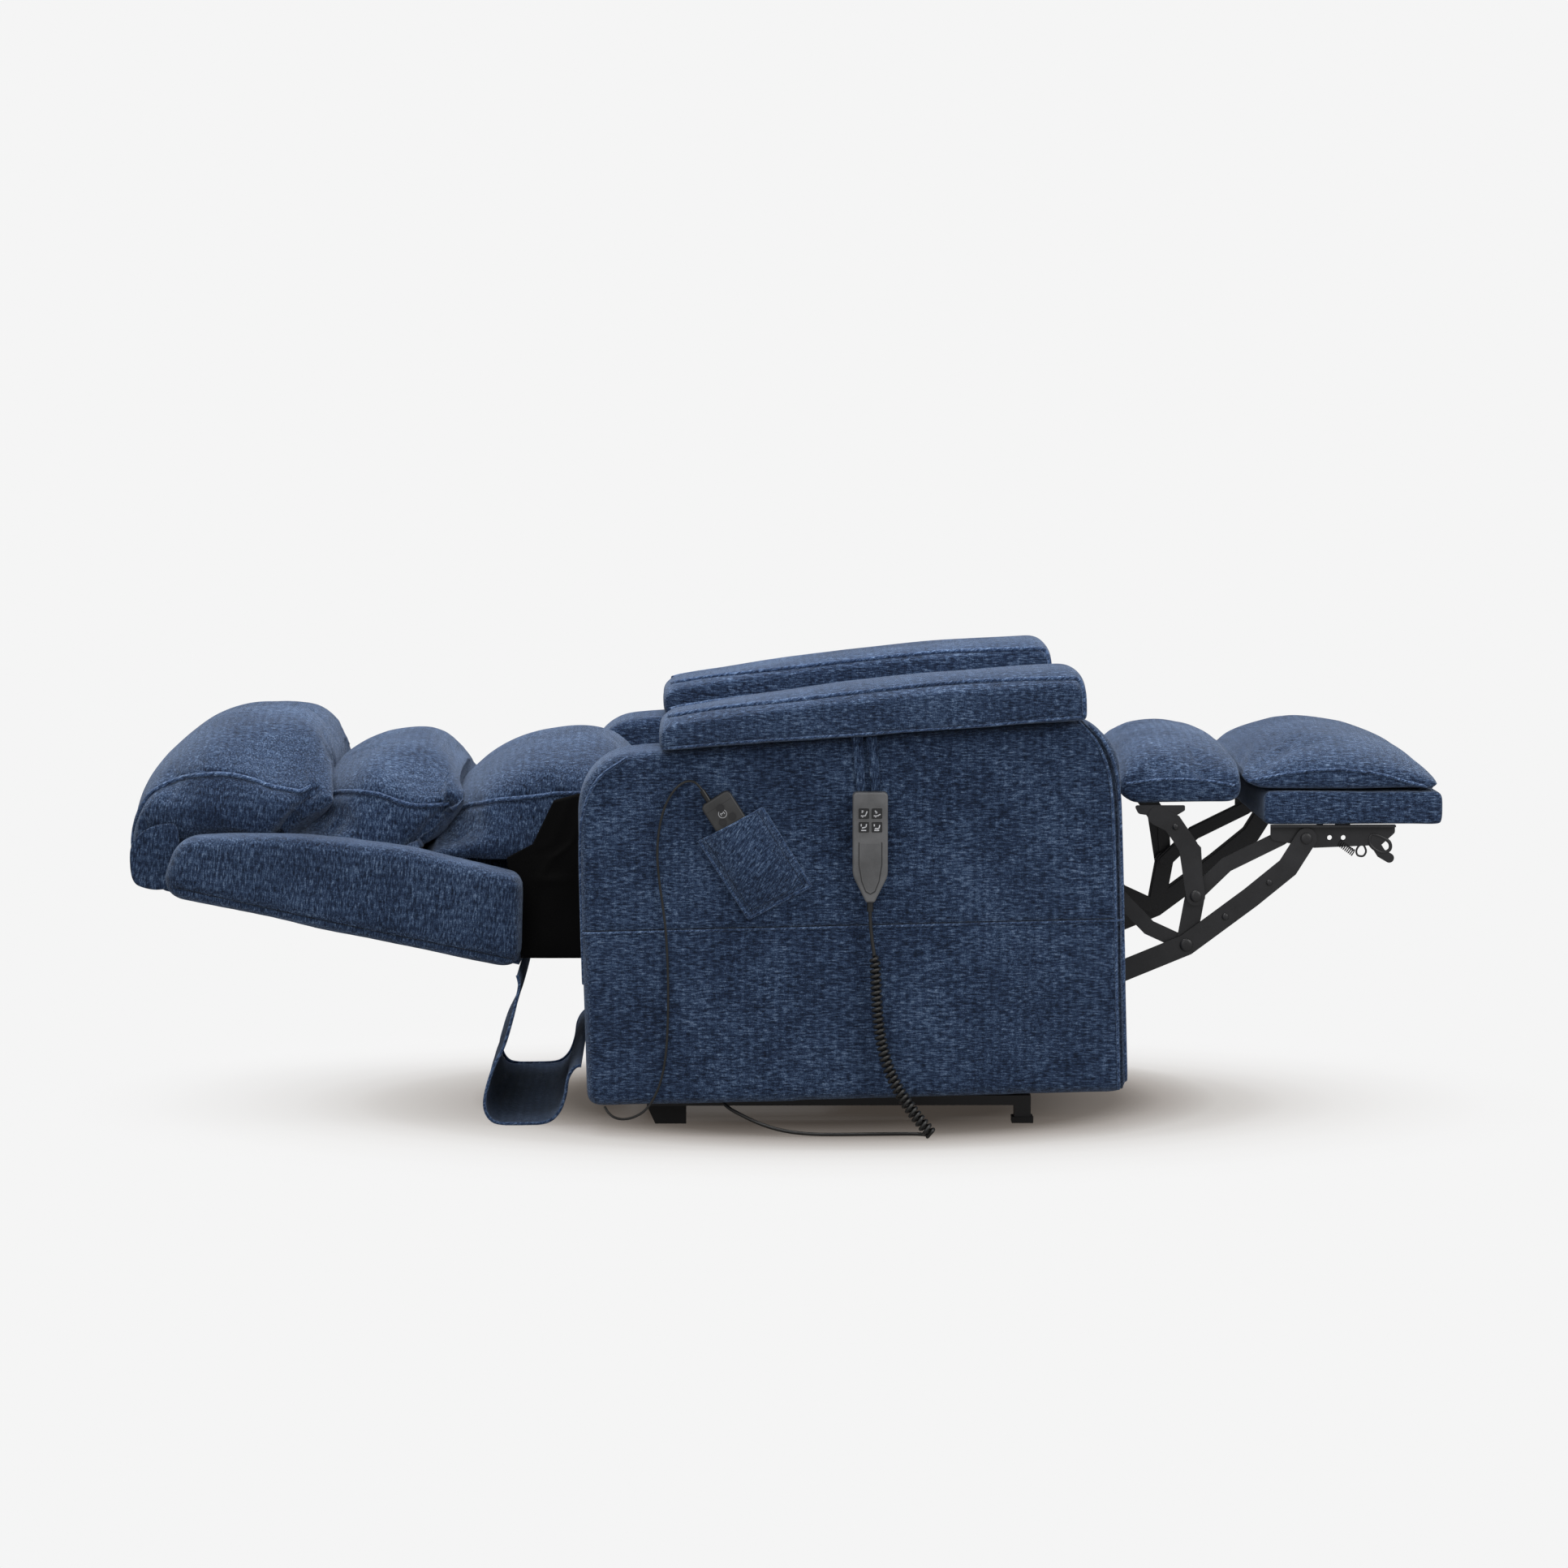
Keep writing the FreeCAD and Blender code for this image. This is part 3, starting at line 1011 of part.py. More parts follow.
def biarc(start, ahead, end, onward):
    """Two arcs from start to end that touch both directions."""
    chord, both = end - start, ahead + onward
    spread = 2 * (1 - ahead.dot(onward))
    reach = (math.sqrt(chord.dot(both) ** 2 + spread * chord.dot(chord)) - chord.dot(both)) / spread
    first, second = start + ahead * reach, end - onward * reach
    middle = (first + second) * 0.5
    return [tangent_arc(start, first, middle)[0], tangent_arc(middle, second, end)[0]]


def curls(name, route):
    """A helix round the route: it opens at the top, and its lowest point is where it leaves at the bottom."""
    route = beside_arm(route)
    edges, _ = routed(route)
    lengths = [e.Length for e in edges]
    wire = g.lead_radius
    start_run = 2 * wire
    steps = int(g.curl_count * 4)
    step = (sum(lengths) - start_run) / steps
    quarter = math.pi / 2

    def on_route(distance):
        """Point and direction on the route at a distance from its start."""
        for edge, length in zip(edges, lengths):
            if distance <= length or edge is edges[-1]:
                at = edge.getParameterByLength(min(distance, length))
                return edge.valueAt(at), edge.tangentAt(at)
            distance -= length

    frames, side = [], Vector(0, 1, 0)
    for i in range(steps + 1):
        point, ahead = on_route(start_run + step * i)
        side = ahead.cross(side).cross(ahead).normalize()
        frames.append((point, ahead, side))
    _, last_ahead, last_side = frames[-1]
    down = Vector(0, 0, -1)
    last_angle = math.atan2(down.dot(last_ahead.cross(last_side)), down.dot(last_side))

    points, ways = [], []
    for i, (point, ahead, side) in enumerate(frames):
        share = min(1.0, i / (4 * g.curl_start))
        full = g.curl_top + (g.curl_bottom - g.curl_top) * i / steps - wire
        radius = full * share * share * (3 - 2 * share)
        widening = full * 6 * share * (1 - share) / (4 * g.curl_start)
        angle = last_angle + (i - steps) * quarter
        across = ahead.cross(side)
        out = side * math.cos(angle) + across * math.sin(angle)
        points.append(point + out * radius)
        ways.append((ahead * step + ahead.cross(out) * (radius * quarter) + out * widening).normalize())
    turns = [Part.LineSegment(Vector(*route[0]), points[0]).toShape()]
    ways[0] = (points[0] - Vector(*route[0])).normalize()
    for start, ahead, end, onward in zip(points, ways, points[1:], ways[1:]):
        turns += biarc(start, ahead, end, onward)
    leave = points[-1] + ways[-1] * start_run
    turns.append(Part.LineSegment(points[-1], leave).toShape())

    samples, travelled = [], 0.0
    for edge in turns:
        count = 4
        for i in range(count):
            at = edge.getParameterByLength(edge.Length * i / count)
            samples.append((travelled + edge.Length * i / count, edge.valueAt(at)))
        travelled += edge.Length
    apart = 4.5 * wire
    gap = min((q - p).Length for i, (a, p) in enumerate(samples) for b, q in samples[i + 1:] if b - a > apart)
    print(name, "least gap to itself", round(gap - 2 * wire, 2), "leaves at", leave, "towards", ways[-1])
    return tube_along(name, turns, wire, CURL_SIDES)


CURL_SIDES = 8
DRAWN_FACE = 440


def beside_arm(route):
    """A route drawn for a side face at DRAWN_FACE, moved to where that face is."""
    return [(x, y + DRAWN_FACE - arm_face, z) for x, y, z in route]


HANDSET_LEAD = [(115.4, -452, 324), (115.8, -452.3, 311), (117, -452.8, 295), (119, -453.4, 278),
                (121.2, -454.2, 264)]
CURLY = [(121.2, -454.2, 264), (122.8, -455, 250), (123.6, -456, 226), (125, -457.5, 188), (129, -459.5, 150),
         (136.5, -462, 114), (149, -465.5, 82), (166, -470, 53), (184, -474, 29), (201, -477, 8.6)]
FLOOR_LEAD = [(196.9, -471.1, 3.2), (200.3, -459.4, 2.9), (195.8, -447.9, 2.9), (186, -441.2, 2.9),
              (170, -439.8, 3), (146, -440.6, 2.9), (112, -442.5, 3), (72, -444.5, 2.9), (32, -445, 3.2),
              (-6, -442, 7), (-40, -434, 16), (-68, -422, 28), (-86.5, -409.5, 36.4), (-94, -402, 43.2)]
CONTROL_LEAD = [(-123.6, -447.9, 497.4), (-128.4, -447.9, 505), (-138, -447.8, 511), (-149.5, -447.6, 509),
                (-161, -447.2, 500), (-171.5, -446.6, 485), (-180, -446, 464), (-185.6, -445.4, 437),
                (-187.8, -444.9, 404), (-184.8, -444.5, 368), (-179.5, -444.3, 332), (-175, -444.2, 294),
                (-172.5, -444.2, 245), (-172, -444.2, 190), (-173.5, -444.2, 140), (-178, -444.2, 98),
                (-187, -444.2, 66), (-203, -443, 38), (-225, -437, 25), (-245, -429.5, 23), (-259, -423, 31),
                (-263.5, -420.5, 40.6)]


def cords():
    node("handset_lead", cord("HandsetLead", HANDSET_LEAD, g.lead_radius))
    node("curly_cord", curls("CurlyCord", CURLY))
    node("floor_lead", cord("FloorLead", FLOOR_LEAD, g.lead_radius))
    node("control_lead", cord("ControlLead", CONTROL_LEAD, g.thin_lead))


def check_and_write():
    doc.recompute()
    for obj in doc.Objects:
        if any(word in obj.State for word in ("Invalid", "Error")):
            raise RuntimeError(f"{obj.Name} failed: {obj.State}")
    for label, obj in nodes.items():
        if obj.Shape.isNull() or not obj.Shape.isValid() or not obj.Shape.Solids:
            raise RuntimeError(f"{label} has no valid solid")
    os.makedirs("parts", exist_ok=True)
    for label, obj in nodes.items():
        obj.Shape.exportStep(f"parts/{label}.step")
    print(len(nodes), "sub-parts written")


base_frame()
feet()
front_lift_link()
rear_lift_link()
lift_frame()
seat_frame()
seat_box()
seat_cushion()
back_cushions()
wings()
back_frame()
arm_sides()
arm_glides()
armrests()
legrest_links()
foot_brackets()
middle_brackets()
leg_pads()
actuators()
electrics()
hanging_cloth()
handset()
pocket_and_control()
cords()
check_and_write()
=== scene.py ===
import json
import math

import bmesh
import bpy
from mathutils import Matrix, Vector, kdtree, noise
from mathutils.bvhtree import BVHTree

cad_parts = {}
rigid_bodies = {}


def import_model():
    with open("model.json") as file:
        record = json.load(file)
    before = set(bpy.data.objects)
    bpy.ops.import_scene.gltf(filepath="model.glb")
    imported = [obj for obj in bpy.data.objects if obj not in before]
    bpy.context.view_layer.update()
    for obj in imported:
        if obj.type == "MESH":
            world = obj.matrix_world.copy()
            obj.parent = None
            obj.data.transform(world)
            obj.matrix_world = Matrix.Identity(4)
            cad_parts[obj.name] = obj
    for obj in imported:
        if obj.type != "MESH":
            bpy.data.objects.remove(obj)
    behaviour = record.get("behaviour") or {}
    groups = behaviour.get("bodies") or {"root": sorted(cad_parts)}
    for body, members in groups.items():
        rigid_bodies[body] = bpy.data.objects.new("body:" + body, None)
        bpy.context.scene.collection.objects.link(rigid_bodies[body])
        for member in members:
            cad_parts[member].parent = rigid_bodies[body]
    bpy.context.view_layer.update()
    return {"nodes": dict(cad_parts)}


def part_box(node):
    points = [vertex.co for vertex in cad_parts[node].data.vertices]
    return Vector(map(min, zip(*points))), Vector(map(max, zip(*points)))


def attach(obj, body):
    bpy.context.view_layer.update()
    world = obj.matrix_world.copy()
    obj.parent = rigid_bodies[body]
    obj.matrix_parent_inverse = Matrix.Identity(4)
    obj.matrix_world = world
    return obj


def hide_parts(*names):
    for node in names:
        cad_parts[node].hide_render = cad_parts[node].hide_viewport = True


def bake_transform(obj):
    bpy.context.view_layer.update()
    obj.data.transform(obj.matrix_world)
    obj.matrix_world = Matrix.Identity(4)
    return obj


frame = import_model()
nodes = frame["nodes"]
scene = bpy.context.scene
print("frame loaded:", len(nodes), "CAD nodes")

# X runs to the sitter's feet, Y to the sitter's left, Z up. Everything is in metres.


def mm(*values):
    return Vector([v / 1000 for v in values])


def newObject(name, data):
    made = bpy.data.objects.new(name, data)
    scene.collection.objects.link(made)
    return made


camera = {
    "place": (-0.123, -7.94, 1.122),
    "pitch": 4.70,   # degrees below level
    "turn": 0.887,   # degrees towards the feet
    "lens": 121.5, "sensor": 36, "farEnd": 60,
}

studio = {
    "wall": 0.913,        # what the camera sees of the backdrop
    "fill": 0.42,         # world light on the object
    "floorTone": (0.80, 0.81, 0.82),
    "floorSize": 8, "floorLevel": -0.0005,
    "litSpan": (1.08, 0.82), "litFade": (0.25, 1.1),
    "litShare": 0.13,     # how much of the floor takes the lamps' own shadows
    "poolWarmth": (0.12, 0.22),   # how much green and blue a shadow loses
    # painted shadow on the floor: ellipses that darken the backdrop seen through it around the chair
    "shadowPools": [
        # centre, half size, then distance and tone from the middle outwards
        ((0.05, -0.08), (1.0, 0.75), [(0.30, 0.22), (0.45, 0.42), (0.52, 0.57), (0.58, 0.65), (0.65, 0.74),
                                      (0.70, 0.83), (0.78, 0.91), (0.87, 0.955), (1.0, 0.99), (1.12, 1.0)]),
        ((0.09, -0.02), (0.52, 0.52), [(0.55, 0.30), (0.78, 0.42), (0.92, 0.76), (1.08, 1.0)]),
    ],
    "lamps": [
        # name, place, aim, size, watts
        ("overheadLamp", (-0.3, 0.1, 3.2), (0.0, 0.0, 0.3), 2.6, 150),
        ("frontLamp", (-1.4, -4.4, 2.2), (0.0, 0.0, 0.3), 2.6, 31),
        ("feetLamp", (2.6, -2.4, 2.0), (0.8, 0.0, 0.3), 1.8, 34),
    ],
}


def nodeAdder(owner):
    owner.use_nodes = True
    tree = owner.node_tree
    tree.nodes.clear()

    def add(kind, *sources, **settings):
        # sources fill the inputs in order, settings are properties or inputs by name
        made = tree.nodes.new("ShaderNode" + kind)
        given = []
        for key, value in settings.items():
            if hasattr(made, key):
                setattr(made, key, value)
            else:
                given.append((key.replace("_", " "), value))
        for name, value in given + list(enumerate(sources)):
            if isinstance(value, bpy.types.NodeSocket):
                feed(made, name, value)
            else:
                made.inputs[name].default_value = value
        return made

    return add


def feed(node, name, source):
    node.id_data.links.new(source, node.inputs[name])


def buildStudio():
    cam = newObject("camera", bpy.data.cameras.new("camera"))
    cam.data.lens = camera["lens"]
    cam.data.sensor_width = camera["sensor"]
    cam.data.clip_end = camera["farEnd"]
    cam.location = camera["place"]
    cam.rotation_euler = (math.radians(90 - camera["pitch"]), 0, math.radians(-camera["turn"]))
    scene.camera = cam
    scene.view_settings.view_transform = "Standard"

    for name, place, aim, size, watts in studio["lamps"]:
        lamp = bpy.data.lights.new(name, "AREA")
        lamp.shape, lamp.size, lamp.energy = "SQUARE", size, watts
        lampObject = newObject(name, lamp)
        lampObject.location = place
        lampObject.rotation_euler = (Vector(aim) - Vector(place)).to_track_quat("-Z", "Y").to_euler()

    world = bpy.data.worlds.new("studio")
    scene.world = world
    add = nodeAdder(world)
    white = (1, 1, 1, 1)
    path = add("LightPath")
    unseen = add("Background", Color=white, Strength=studio["fill"])
    seen = add("Background", Color=white, Strength=studio["wall"])
    pick = add("MixShader", path.outputs["Is Camera Ray"], unseen.outputs[0], seen.outputs[0])
    add("OutputWorld", Surface=pick.outputs[0])

    bpy.ops.mesh.primitive_plane_add(size=studio["floorSize"], location=(0, 0, studio["floorLevel"]))
    floor = bpy.context.object
    floor.name = "studioFloor"
    material = bpy.data.materials.new("studioFloor")
    add = nodeAdder(material)
    coords = add("TexCoord").outputs["Object"]

    def distance(centre, half):
        shift = add("Mapping", Vector=coords, Scale=(1 / half[0], 1 / half[1], 1),
                        Location=(-centre[0] / half[0], -centre[1] / half[1], 0))
        return add("VectorMath", shift.outputs[0], operation="LENGTH").outputs["Value"]

    near, far = studio["litFade"]
    fade = add("MapRange", Value=distance((0, 0), studio["litSpan"]), From_Min=near, From_Max=far,
               To_Min=studio["litShare"], To_Max=0.0, interpolation_type="SMOOTHSTEP")
    green, blue = studio["poolWarmth"]
    pools = []
    for centre, half, tones in studio["shadowPools"]:
        reach = tones[-1][0]
        stops = [(r / reach, (t, t * (1 - (1 - t) * green), t * (1 - (1 - t) * blue))) for r, t in tones]
        pools.append(ramp(add, mathNode(add, "DIVIDE", distance(centre, half), reach), stops))
    # the painted shadow, multiplied from the pools, tints what shows through the floor
    paintedShadow = add("VectorMath", *pools, operation="MULTIPLY")
    clear = add("BsdfTransparent", Color=paintedShadow.outputs[0])
    matt = add("BsdfDiffuse", Color=(*studio["floorTone"], 1))
    mix = add("MixShader", fade.outputs["Result"], clear.outputs[0], matt.outputs[0])
    add("OutputMaterial", Surface=mix.outputs[0])
    floor.data.materials.append(material)


def surface(name, roughness, metallic=0.0, **extra):
    material = bpy.data.materials.new(name)
    add = nodeAdder(material)
    bsdf = add("BsdfPrincipled", Roughness=roughness, Metallic=metallic, **extra)
    add("OutputMaterial", Surface=bsdf.outputs[0])
    return material, add, bsdf, add("TexCoord").outputs["Object"]


def noiseAt(add, coords, scale, detail, roughness):
    mapping = add("Mapping", Vector=coords, Scale=scale)
    return add("TexNoise", Vector=mapping.outputs[0], Scale=1.0, Detail=detail, Roughness=roughness).outputs["Fac"]


def mathNode(add, operation, first, second):
    return add("Math", first, second, operation=operation).outputs[0]


def blendOf(add, parts):
    total = None
    for source, weight in parts:
        share = mathNode(add, "MULTIPLY", source, weight)
        total = share if total is None else mathNode(add, "ADD", total, share)
    return total


def ramp(add, source, stops):
    node = add("ValToRGB", Fac=source)
    elements = node.color_ramp.elements
    while len(elements) < len(stops):
        elements.new(0.5)
    for element, (place, colour) in zip(elements, stops):
        element.position = place
        element.color = (*colour, 1)
    return node.outputs["Color"]


def toneRamp(add, source, colour, dark, bright, start=0.35, end=0.65):
    low = tuple(v * dark for v in colour)
    high = tuple(min(1, v * bright) for v in colour)
    return ramp(add, source, [(start, low), (end, high)])


def roughBetween(add, bsdf, source, low, high):
    span = add("MapRange", Value=source, To_Min=low, To_Max=high)
    feed(bsdf, "Roughness", span.outputs["Result"])


def bump(add, bsdf, height, strength, distance):
    node = add("Bump", Height=height, Strength=strength, Distance=distance)
    feed(bsdf, "Normal", node.outputs[0])


chenille = {
    "shadow": (0.0058, 0.0098, 0.0215),
    "deep": (0.0150, 0.0270, 0.0600),
    "body": (0.0310, 0.0550, 0.1160),
    "light": (0.0820, 0.1330, 0.2400),
    "fleck": (0.2200, 0.3050, 0.4500),
    "rowLength": 96,      # cycles per metre along the rows
    "rowPitch": 500,      # cycles per metre across them
    "fleckPitch": 450,
    "blotch": 9,
    "walePitch": 82,      # faint ribs across the rows
    "relief": 0.0030,
    "sheen": 0.42, "sheenTint": (0.62, 0.74, 0.94),
}


def makeChenille(name, shade=1.0, lean=0.0):
    c = chenille
    material, add, bsdf, coords = surface(name, 0.9, Sheen_Weight=c["sheen"], Sheen_Roughness=0.36,
                                          Sheen_Tint=(*c["sheenTint"], 1), Specular_IOR_Level=0.12)
    if lean:
        coords = add("Mapping", Vector=coords, Rotation=(0, math.radians(lean), 0)).outputs[0]
    rows = noiseAt(add, coords, (c["rowLength"], c["rowPitch"], c["rowPitch"]), 3, 0.6)
    columns = noiseAt(add, coords, (c["fleckPitch"], c["rowLength"] * 1.7, c["rowLength"] * 1.7), 2, 0.55)
    pile = noiseAt(add, coords, (c["fleckPitch"] * 1.9,) * 3, 2, 0.6)
    blotches = noiseAt(add, coords, (c["blotch"],) * 3, 3, 0.5)
    wales = add("TexWave", Vector=coords, wave_type="BANDS", bands_direction="X", Scale=c["walePitch"] / 3.14,
                Distortion=0.8, Detail=1.0).outputs["Fac"]
    marl = blendOf(add, [(rows, 0.46), (columns, 0.13), (pile, 0.27), (blotches, 0.12), (wales, 0.02)])
    stops = [(0.385, "shadow"), (0.45, "deep"), (0.508, "body"), (0.565, "light"), (0.64, "fleck")]
    stops = [(place, tuple(v * shade for v in c[tone])) for place, tone in stops]
    feed(bsdf, "Base Color", ramp(add, marl, stops))
    bump(add, bsdf, blendOf(add, [(rows, 0.5), (columns, 0.2), (pile, 0.7), (wales, 0.06)]), 1.0, c["relief"])
    return material


def makeCloth(name, colour, sheen=0.2):
    material, add, bsdf, coords = surface(name, 0.9, Sheen_Weight=sheen, Specular_IOR_Level=0.12)
    weave = noiseAt(add, coords, (900, 360, 900), 2, 0.6)
    tone = noiseAt(add, coords, (14, 14, 14), 3, 0.5)
    both = blendOf(add, [(weave, 0.6), (tone, 0.4)])
    feed(bsdf, "Base Color", toneRamp(add, both, colour, 0.55, 1.6))
    bump(add, bsdf, weave, 0.5, 0.0006)
    return material


def makePaint(name, colour, roughness, grain=420):
    material, add, bsdf, coords = surface(name, roughness, Specular_IOR_Level=0.5)
    fine = noiseAt(add, coords, (grain,) * 3, 3, 0.6)
    broad = noiseAt(add, coords, (18,) * 3, 4, 0.6)
    both = blendOf(add, [(fine, 0.3), (broad, 0.7)])
    feed(bsdf, "Base Color", toneRamp(add, both, colour, 0.72, 1.45, end=0.68))
    roughBetween(add, bsdf, broad, roughness - 0.08, roughness + 0.12)
    bump(add, bsdf, fine, 0.18, 0.0003)
    return material


def makeSteel(name, colour):
    material, add, bsdf, coords = surface(name, 0.3, 1.0)
    rings = noiseAt(add, coords, (1400, 40, 40), 2, 0.5)
    feed(bsdf, "Base Color", toneRamp(add, rings, colour, 0.8, 1.0, 0.3, 0.7))
    roughBetween(add, bsdf, rings, 0.22, 0.4)
    return material


def makeWood(name):
    material, add, bsdf, coords = surface(name, 0.7)
    grain = noiseAt(add, coords, (6, 160, 160), 5, 0.65)
    stops = [(0.3, (0.24, 0.15, 0.08)), (0.7, (0.50, 0.36, 0.21))]
    feed(bsdf, "Base Color", ramp(add, grain, stops))
    bump(add, bsdf, grain, 0.3, 0.0006)
    return material


paints = {}


def buildMaterials():
    paints.update(
        upholstery=makeChenille("navyChenille"),
        upright=makeChenille("navyChenilleUpright", lean=84),
        # a darker copy of the chenille: painted shadow along seams and between welts
        seamShade=makeChenille("navyPaintedSeamShadow", 0.35),
        # a lighter copy of the chenille: painted highlight along the welt ridges
        welt=makeChenille("navyWelt", 1.55, lean=35),
        pocketCloth=makeChenille("navyPocket", 1.05, lean=57.5),
        blackCloth=makeCloth("blackDustCloth", (0.0030, 0.0029, 0.0029), sheen=0.0),
        strapCloth=makeChenille("navyTape", 1.0, lean=88),
        webbing=makeCloth("seatWebbing", (0.20, 0.17, 0.13)),
        blackSteel=makePaint("satinBlackSteel", (0.016, 0.016, 0.018), 0.36),
        rodSteel=makeSteel("groundSteel", (0.62, 0.62, 0.63)),
        motorPlastic=makePaint("motorHousing", (0.022, 0.022, 0.024), 0.5, 900),
        handsetPlastic=makePaint("handsetPlastic", (0.125, 0.126, 0.130), 0.46, 1600),
        handsetInlay=makePaint("handsetInlay", (0.105, 0.106, 0.110), 0.5, 1600),
        handsetLine=makePaint("handsetLine", (0.030, 0.030, 0.032), 0.5, 1600),
        controlPlastic=makePaint("controlPlastic", (0.040, 0.040, 0.041), 0.42, 1600),
        keyRubber=makePaint("keyRubber", (0.018, 0.018, 0.020), 0.6, 1200),
        printWhite=makePaint("printWhite", (0.62, 0.63, 0.66), 0.6, 900),
        sheath=makePaint("cordSheath", (0.014, 0.014, 0.014), 0.34, 1200),
        rubber=makePaint("footRubber", (0.013, 0.013, 0.014), 0.62, 700),
        wood=makeWood("seatBoxWood"),
    )
    byNode = {
        "blackSteel": ["base_frame", "front_lift_link", "rear_lift_link", "lift_frame", "seat_frame", "back_frame",
                       "front_leg_link", "outer_leg_link", "inner_leg_link", "rear_leg_link", "foot_bracket",
                       "middle_bracket"],
        "rodSteel": ["lift_actuator_rod", "back_actuator_rod"],
        "motorPlastic": ["lift_actuator_motor", "back_actuator_motor", "control_box", "power_supply"],
        "rubber": ["front_feet", "rear_feet", "arm_glides"],
        "handsetPlastic": ["handset_back_shell", "handset_face_shell"],
        "controlPlastic": ["control_case"],
        "keyRubber": ["button_back_up", "button_back_down", "button_lift_up", "button_lift_down", "control_keys"],
        "sheath": ["handset_relief", "control_relief"],
        "wood": ["seat_box"],
    }
    for paint, names in byNode.items():
        for name in names:
            data = nodes[name].data
            data.materials.clear()
            data.materials.append(paints[paint])


sides = ((-1, "Right"), (1, "Left"))  # the sitter's right is on the negative Y side


def shadeSmooth(mesh, smooth=True):
    for polygon in mesh.polygons:
        polygon.use_smooth = smooth


def baked(piece):
    dg = bpy.context.evaluated_depsgraph_get()
    dg.update()
    return bpy.data.meshes.new_from_object(piece.evaluated_get(dg))


def evaluated(piece):
    mesh = baked(piece)
    piece.modifiers.clear()
    piece.data = mesh
    return mesh


def place(name, bm, body, paint, slotName="upholstery", thick=0, stands=None):
    # thick is in mm and turns a sheet of faces into a thin shell, stands is the CAD node that it replaces
    bmesh.ops.remove_doubles(bm, verts=bm.verts, dist=1e-5)
    bmesh.ops.dissolve_degenerate(bm, edges=bm.edges, dist=1e-6)
    bmesh.ops.recalc_face_normals(bm, faces=bm.faces)
    mesh = bpy.data.meshes.new(name)
    bm.to_mesh(mesh)
    bm.free()
    piece = newObject(name, mesh)
    mesh.materials.append(paints[paint])
    shadeSmooth(mesh)
    if thick:
        shell = piece.modifiers.new("cloth", "SOLIDIFY")
        shell.thickness = thick / 1000
        shell.offset = 0
        evaluated(piece)
    if body:
        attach(piece, body)
    if stands:
        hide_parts(stands)
    return piece


def drawn(points, y=0):
    return [mm(x, y, z) for x, z in points]


def smoothLine(points, count, closed=False):
    n = len(points)
    spans = n if closed else n - 1
    line = []
    for k in range(count + (0 if closed else 1)):
        t = k / count * spans
        i = min(int(t), spans - 1)
        f = t - i
        near = range(i - 1, i + 3)
        a, b, c, d = [Vector(points[j % n if closed else min(max(j, 0), n - 1)]) for j in near]
        line.append(0.5 * (2 * b + (c - a) * f + (2 * a - 5 * b + 4 * c - d) * f * f
                           + (3 * b - a - 3 * c + d) * f ** 3))
    return line


def evenLine(points, count):
    pts = [Vector(p) for p in points]
    lengths = [0.0]
    for a, b in zip(pts, pts[1:]):
        lengths.append(lengths[-1] + (b - a).length)
    line, i = [], 0
    for k in range(count + 1):
        goal = lengths[-1] * k / count
        while i < len(pts) - 2 and lengths[i + 1] < goal:
            i += 1
        span = lengths[i + 1] - lengths[i] or 1
        line.append(pts[i].lerp(pts[i + 1], (goal - lengths[i]) / span))
    return line


def gridMesh(bm, rows, wrap=False):
    verts = [[bm.verts.new(p) for p in row] for row in rows]
    for a, b in zip(verts, verts[1:]):
        last = len(a) if wrap else len(a) - 1
        for i in range(last):
            j = (i + 1) % len(a)
            bm.faces.new((a[i], a[j], b[j], b[i]))
    return verts


def rumple(mesh, amount, scale, shift, keep=None):
    # unevenness along the normals: height in metres, waves per metre on each axis, where the noise starts
    moved = []
    for vertex in mesh.vertices:
        p = vertex.co
        q = Vector((p.x * scale[0] + shift, p.y * scale[1], p.z * scale[2]))
        share = keep(p) if keep else 1.0
        moved.append(p + vertex.normal * (noise.noise(q) * amount * share))
    for vertex, p in zip(mesh.vertices, moved):
        vertex.co = p


def pipe(name, points, radius, fineness=0):
    # a curve through points, or a smooth one near them when it has a fineness
    curve = bpy.data.curves.new(name, "CURVE")
    curve.dimensions = "3D"
    curve.resolution_u = fineness or 12
    curve.bevel_depth = radius
    curve.bevel_resolution = 3 if fineness else 4
    curve.use_fill_caps = radius > 0
    line = curve.splines.new("NURBS" if fineness else "POLY")
    line.points.add(len(points) - 1)
    for point, p in zip(line.points, points):
        point.co = (*p, 1)
    if fineness:
        line.order_u = 3
        line.use_endpoint_u = True
    return curve


def tube(name, points, radius, body, paint="welt"):
    piece = newObject(name, pipe(name, points, radius))
    piece.data.materials.append(paints[paint])
    if body:
        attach(piece, body)
    return piece


def mirroredTube(name, points, radius, body, paint="welt"):
    for sign, side in sides:
        tube(name + side, [Vector((p.x, p.y * -sign, p.z)) for p in points], radius, body, paint)


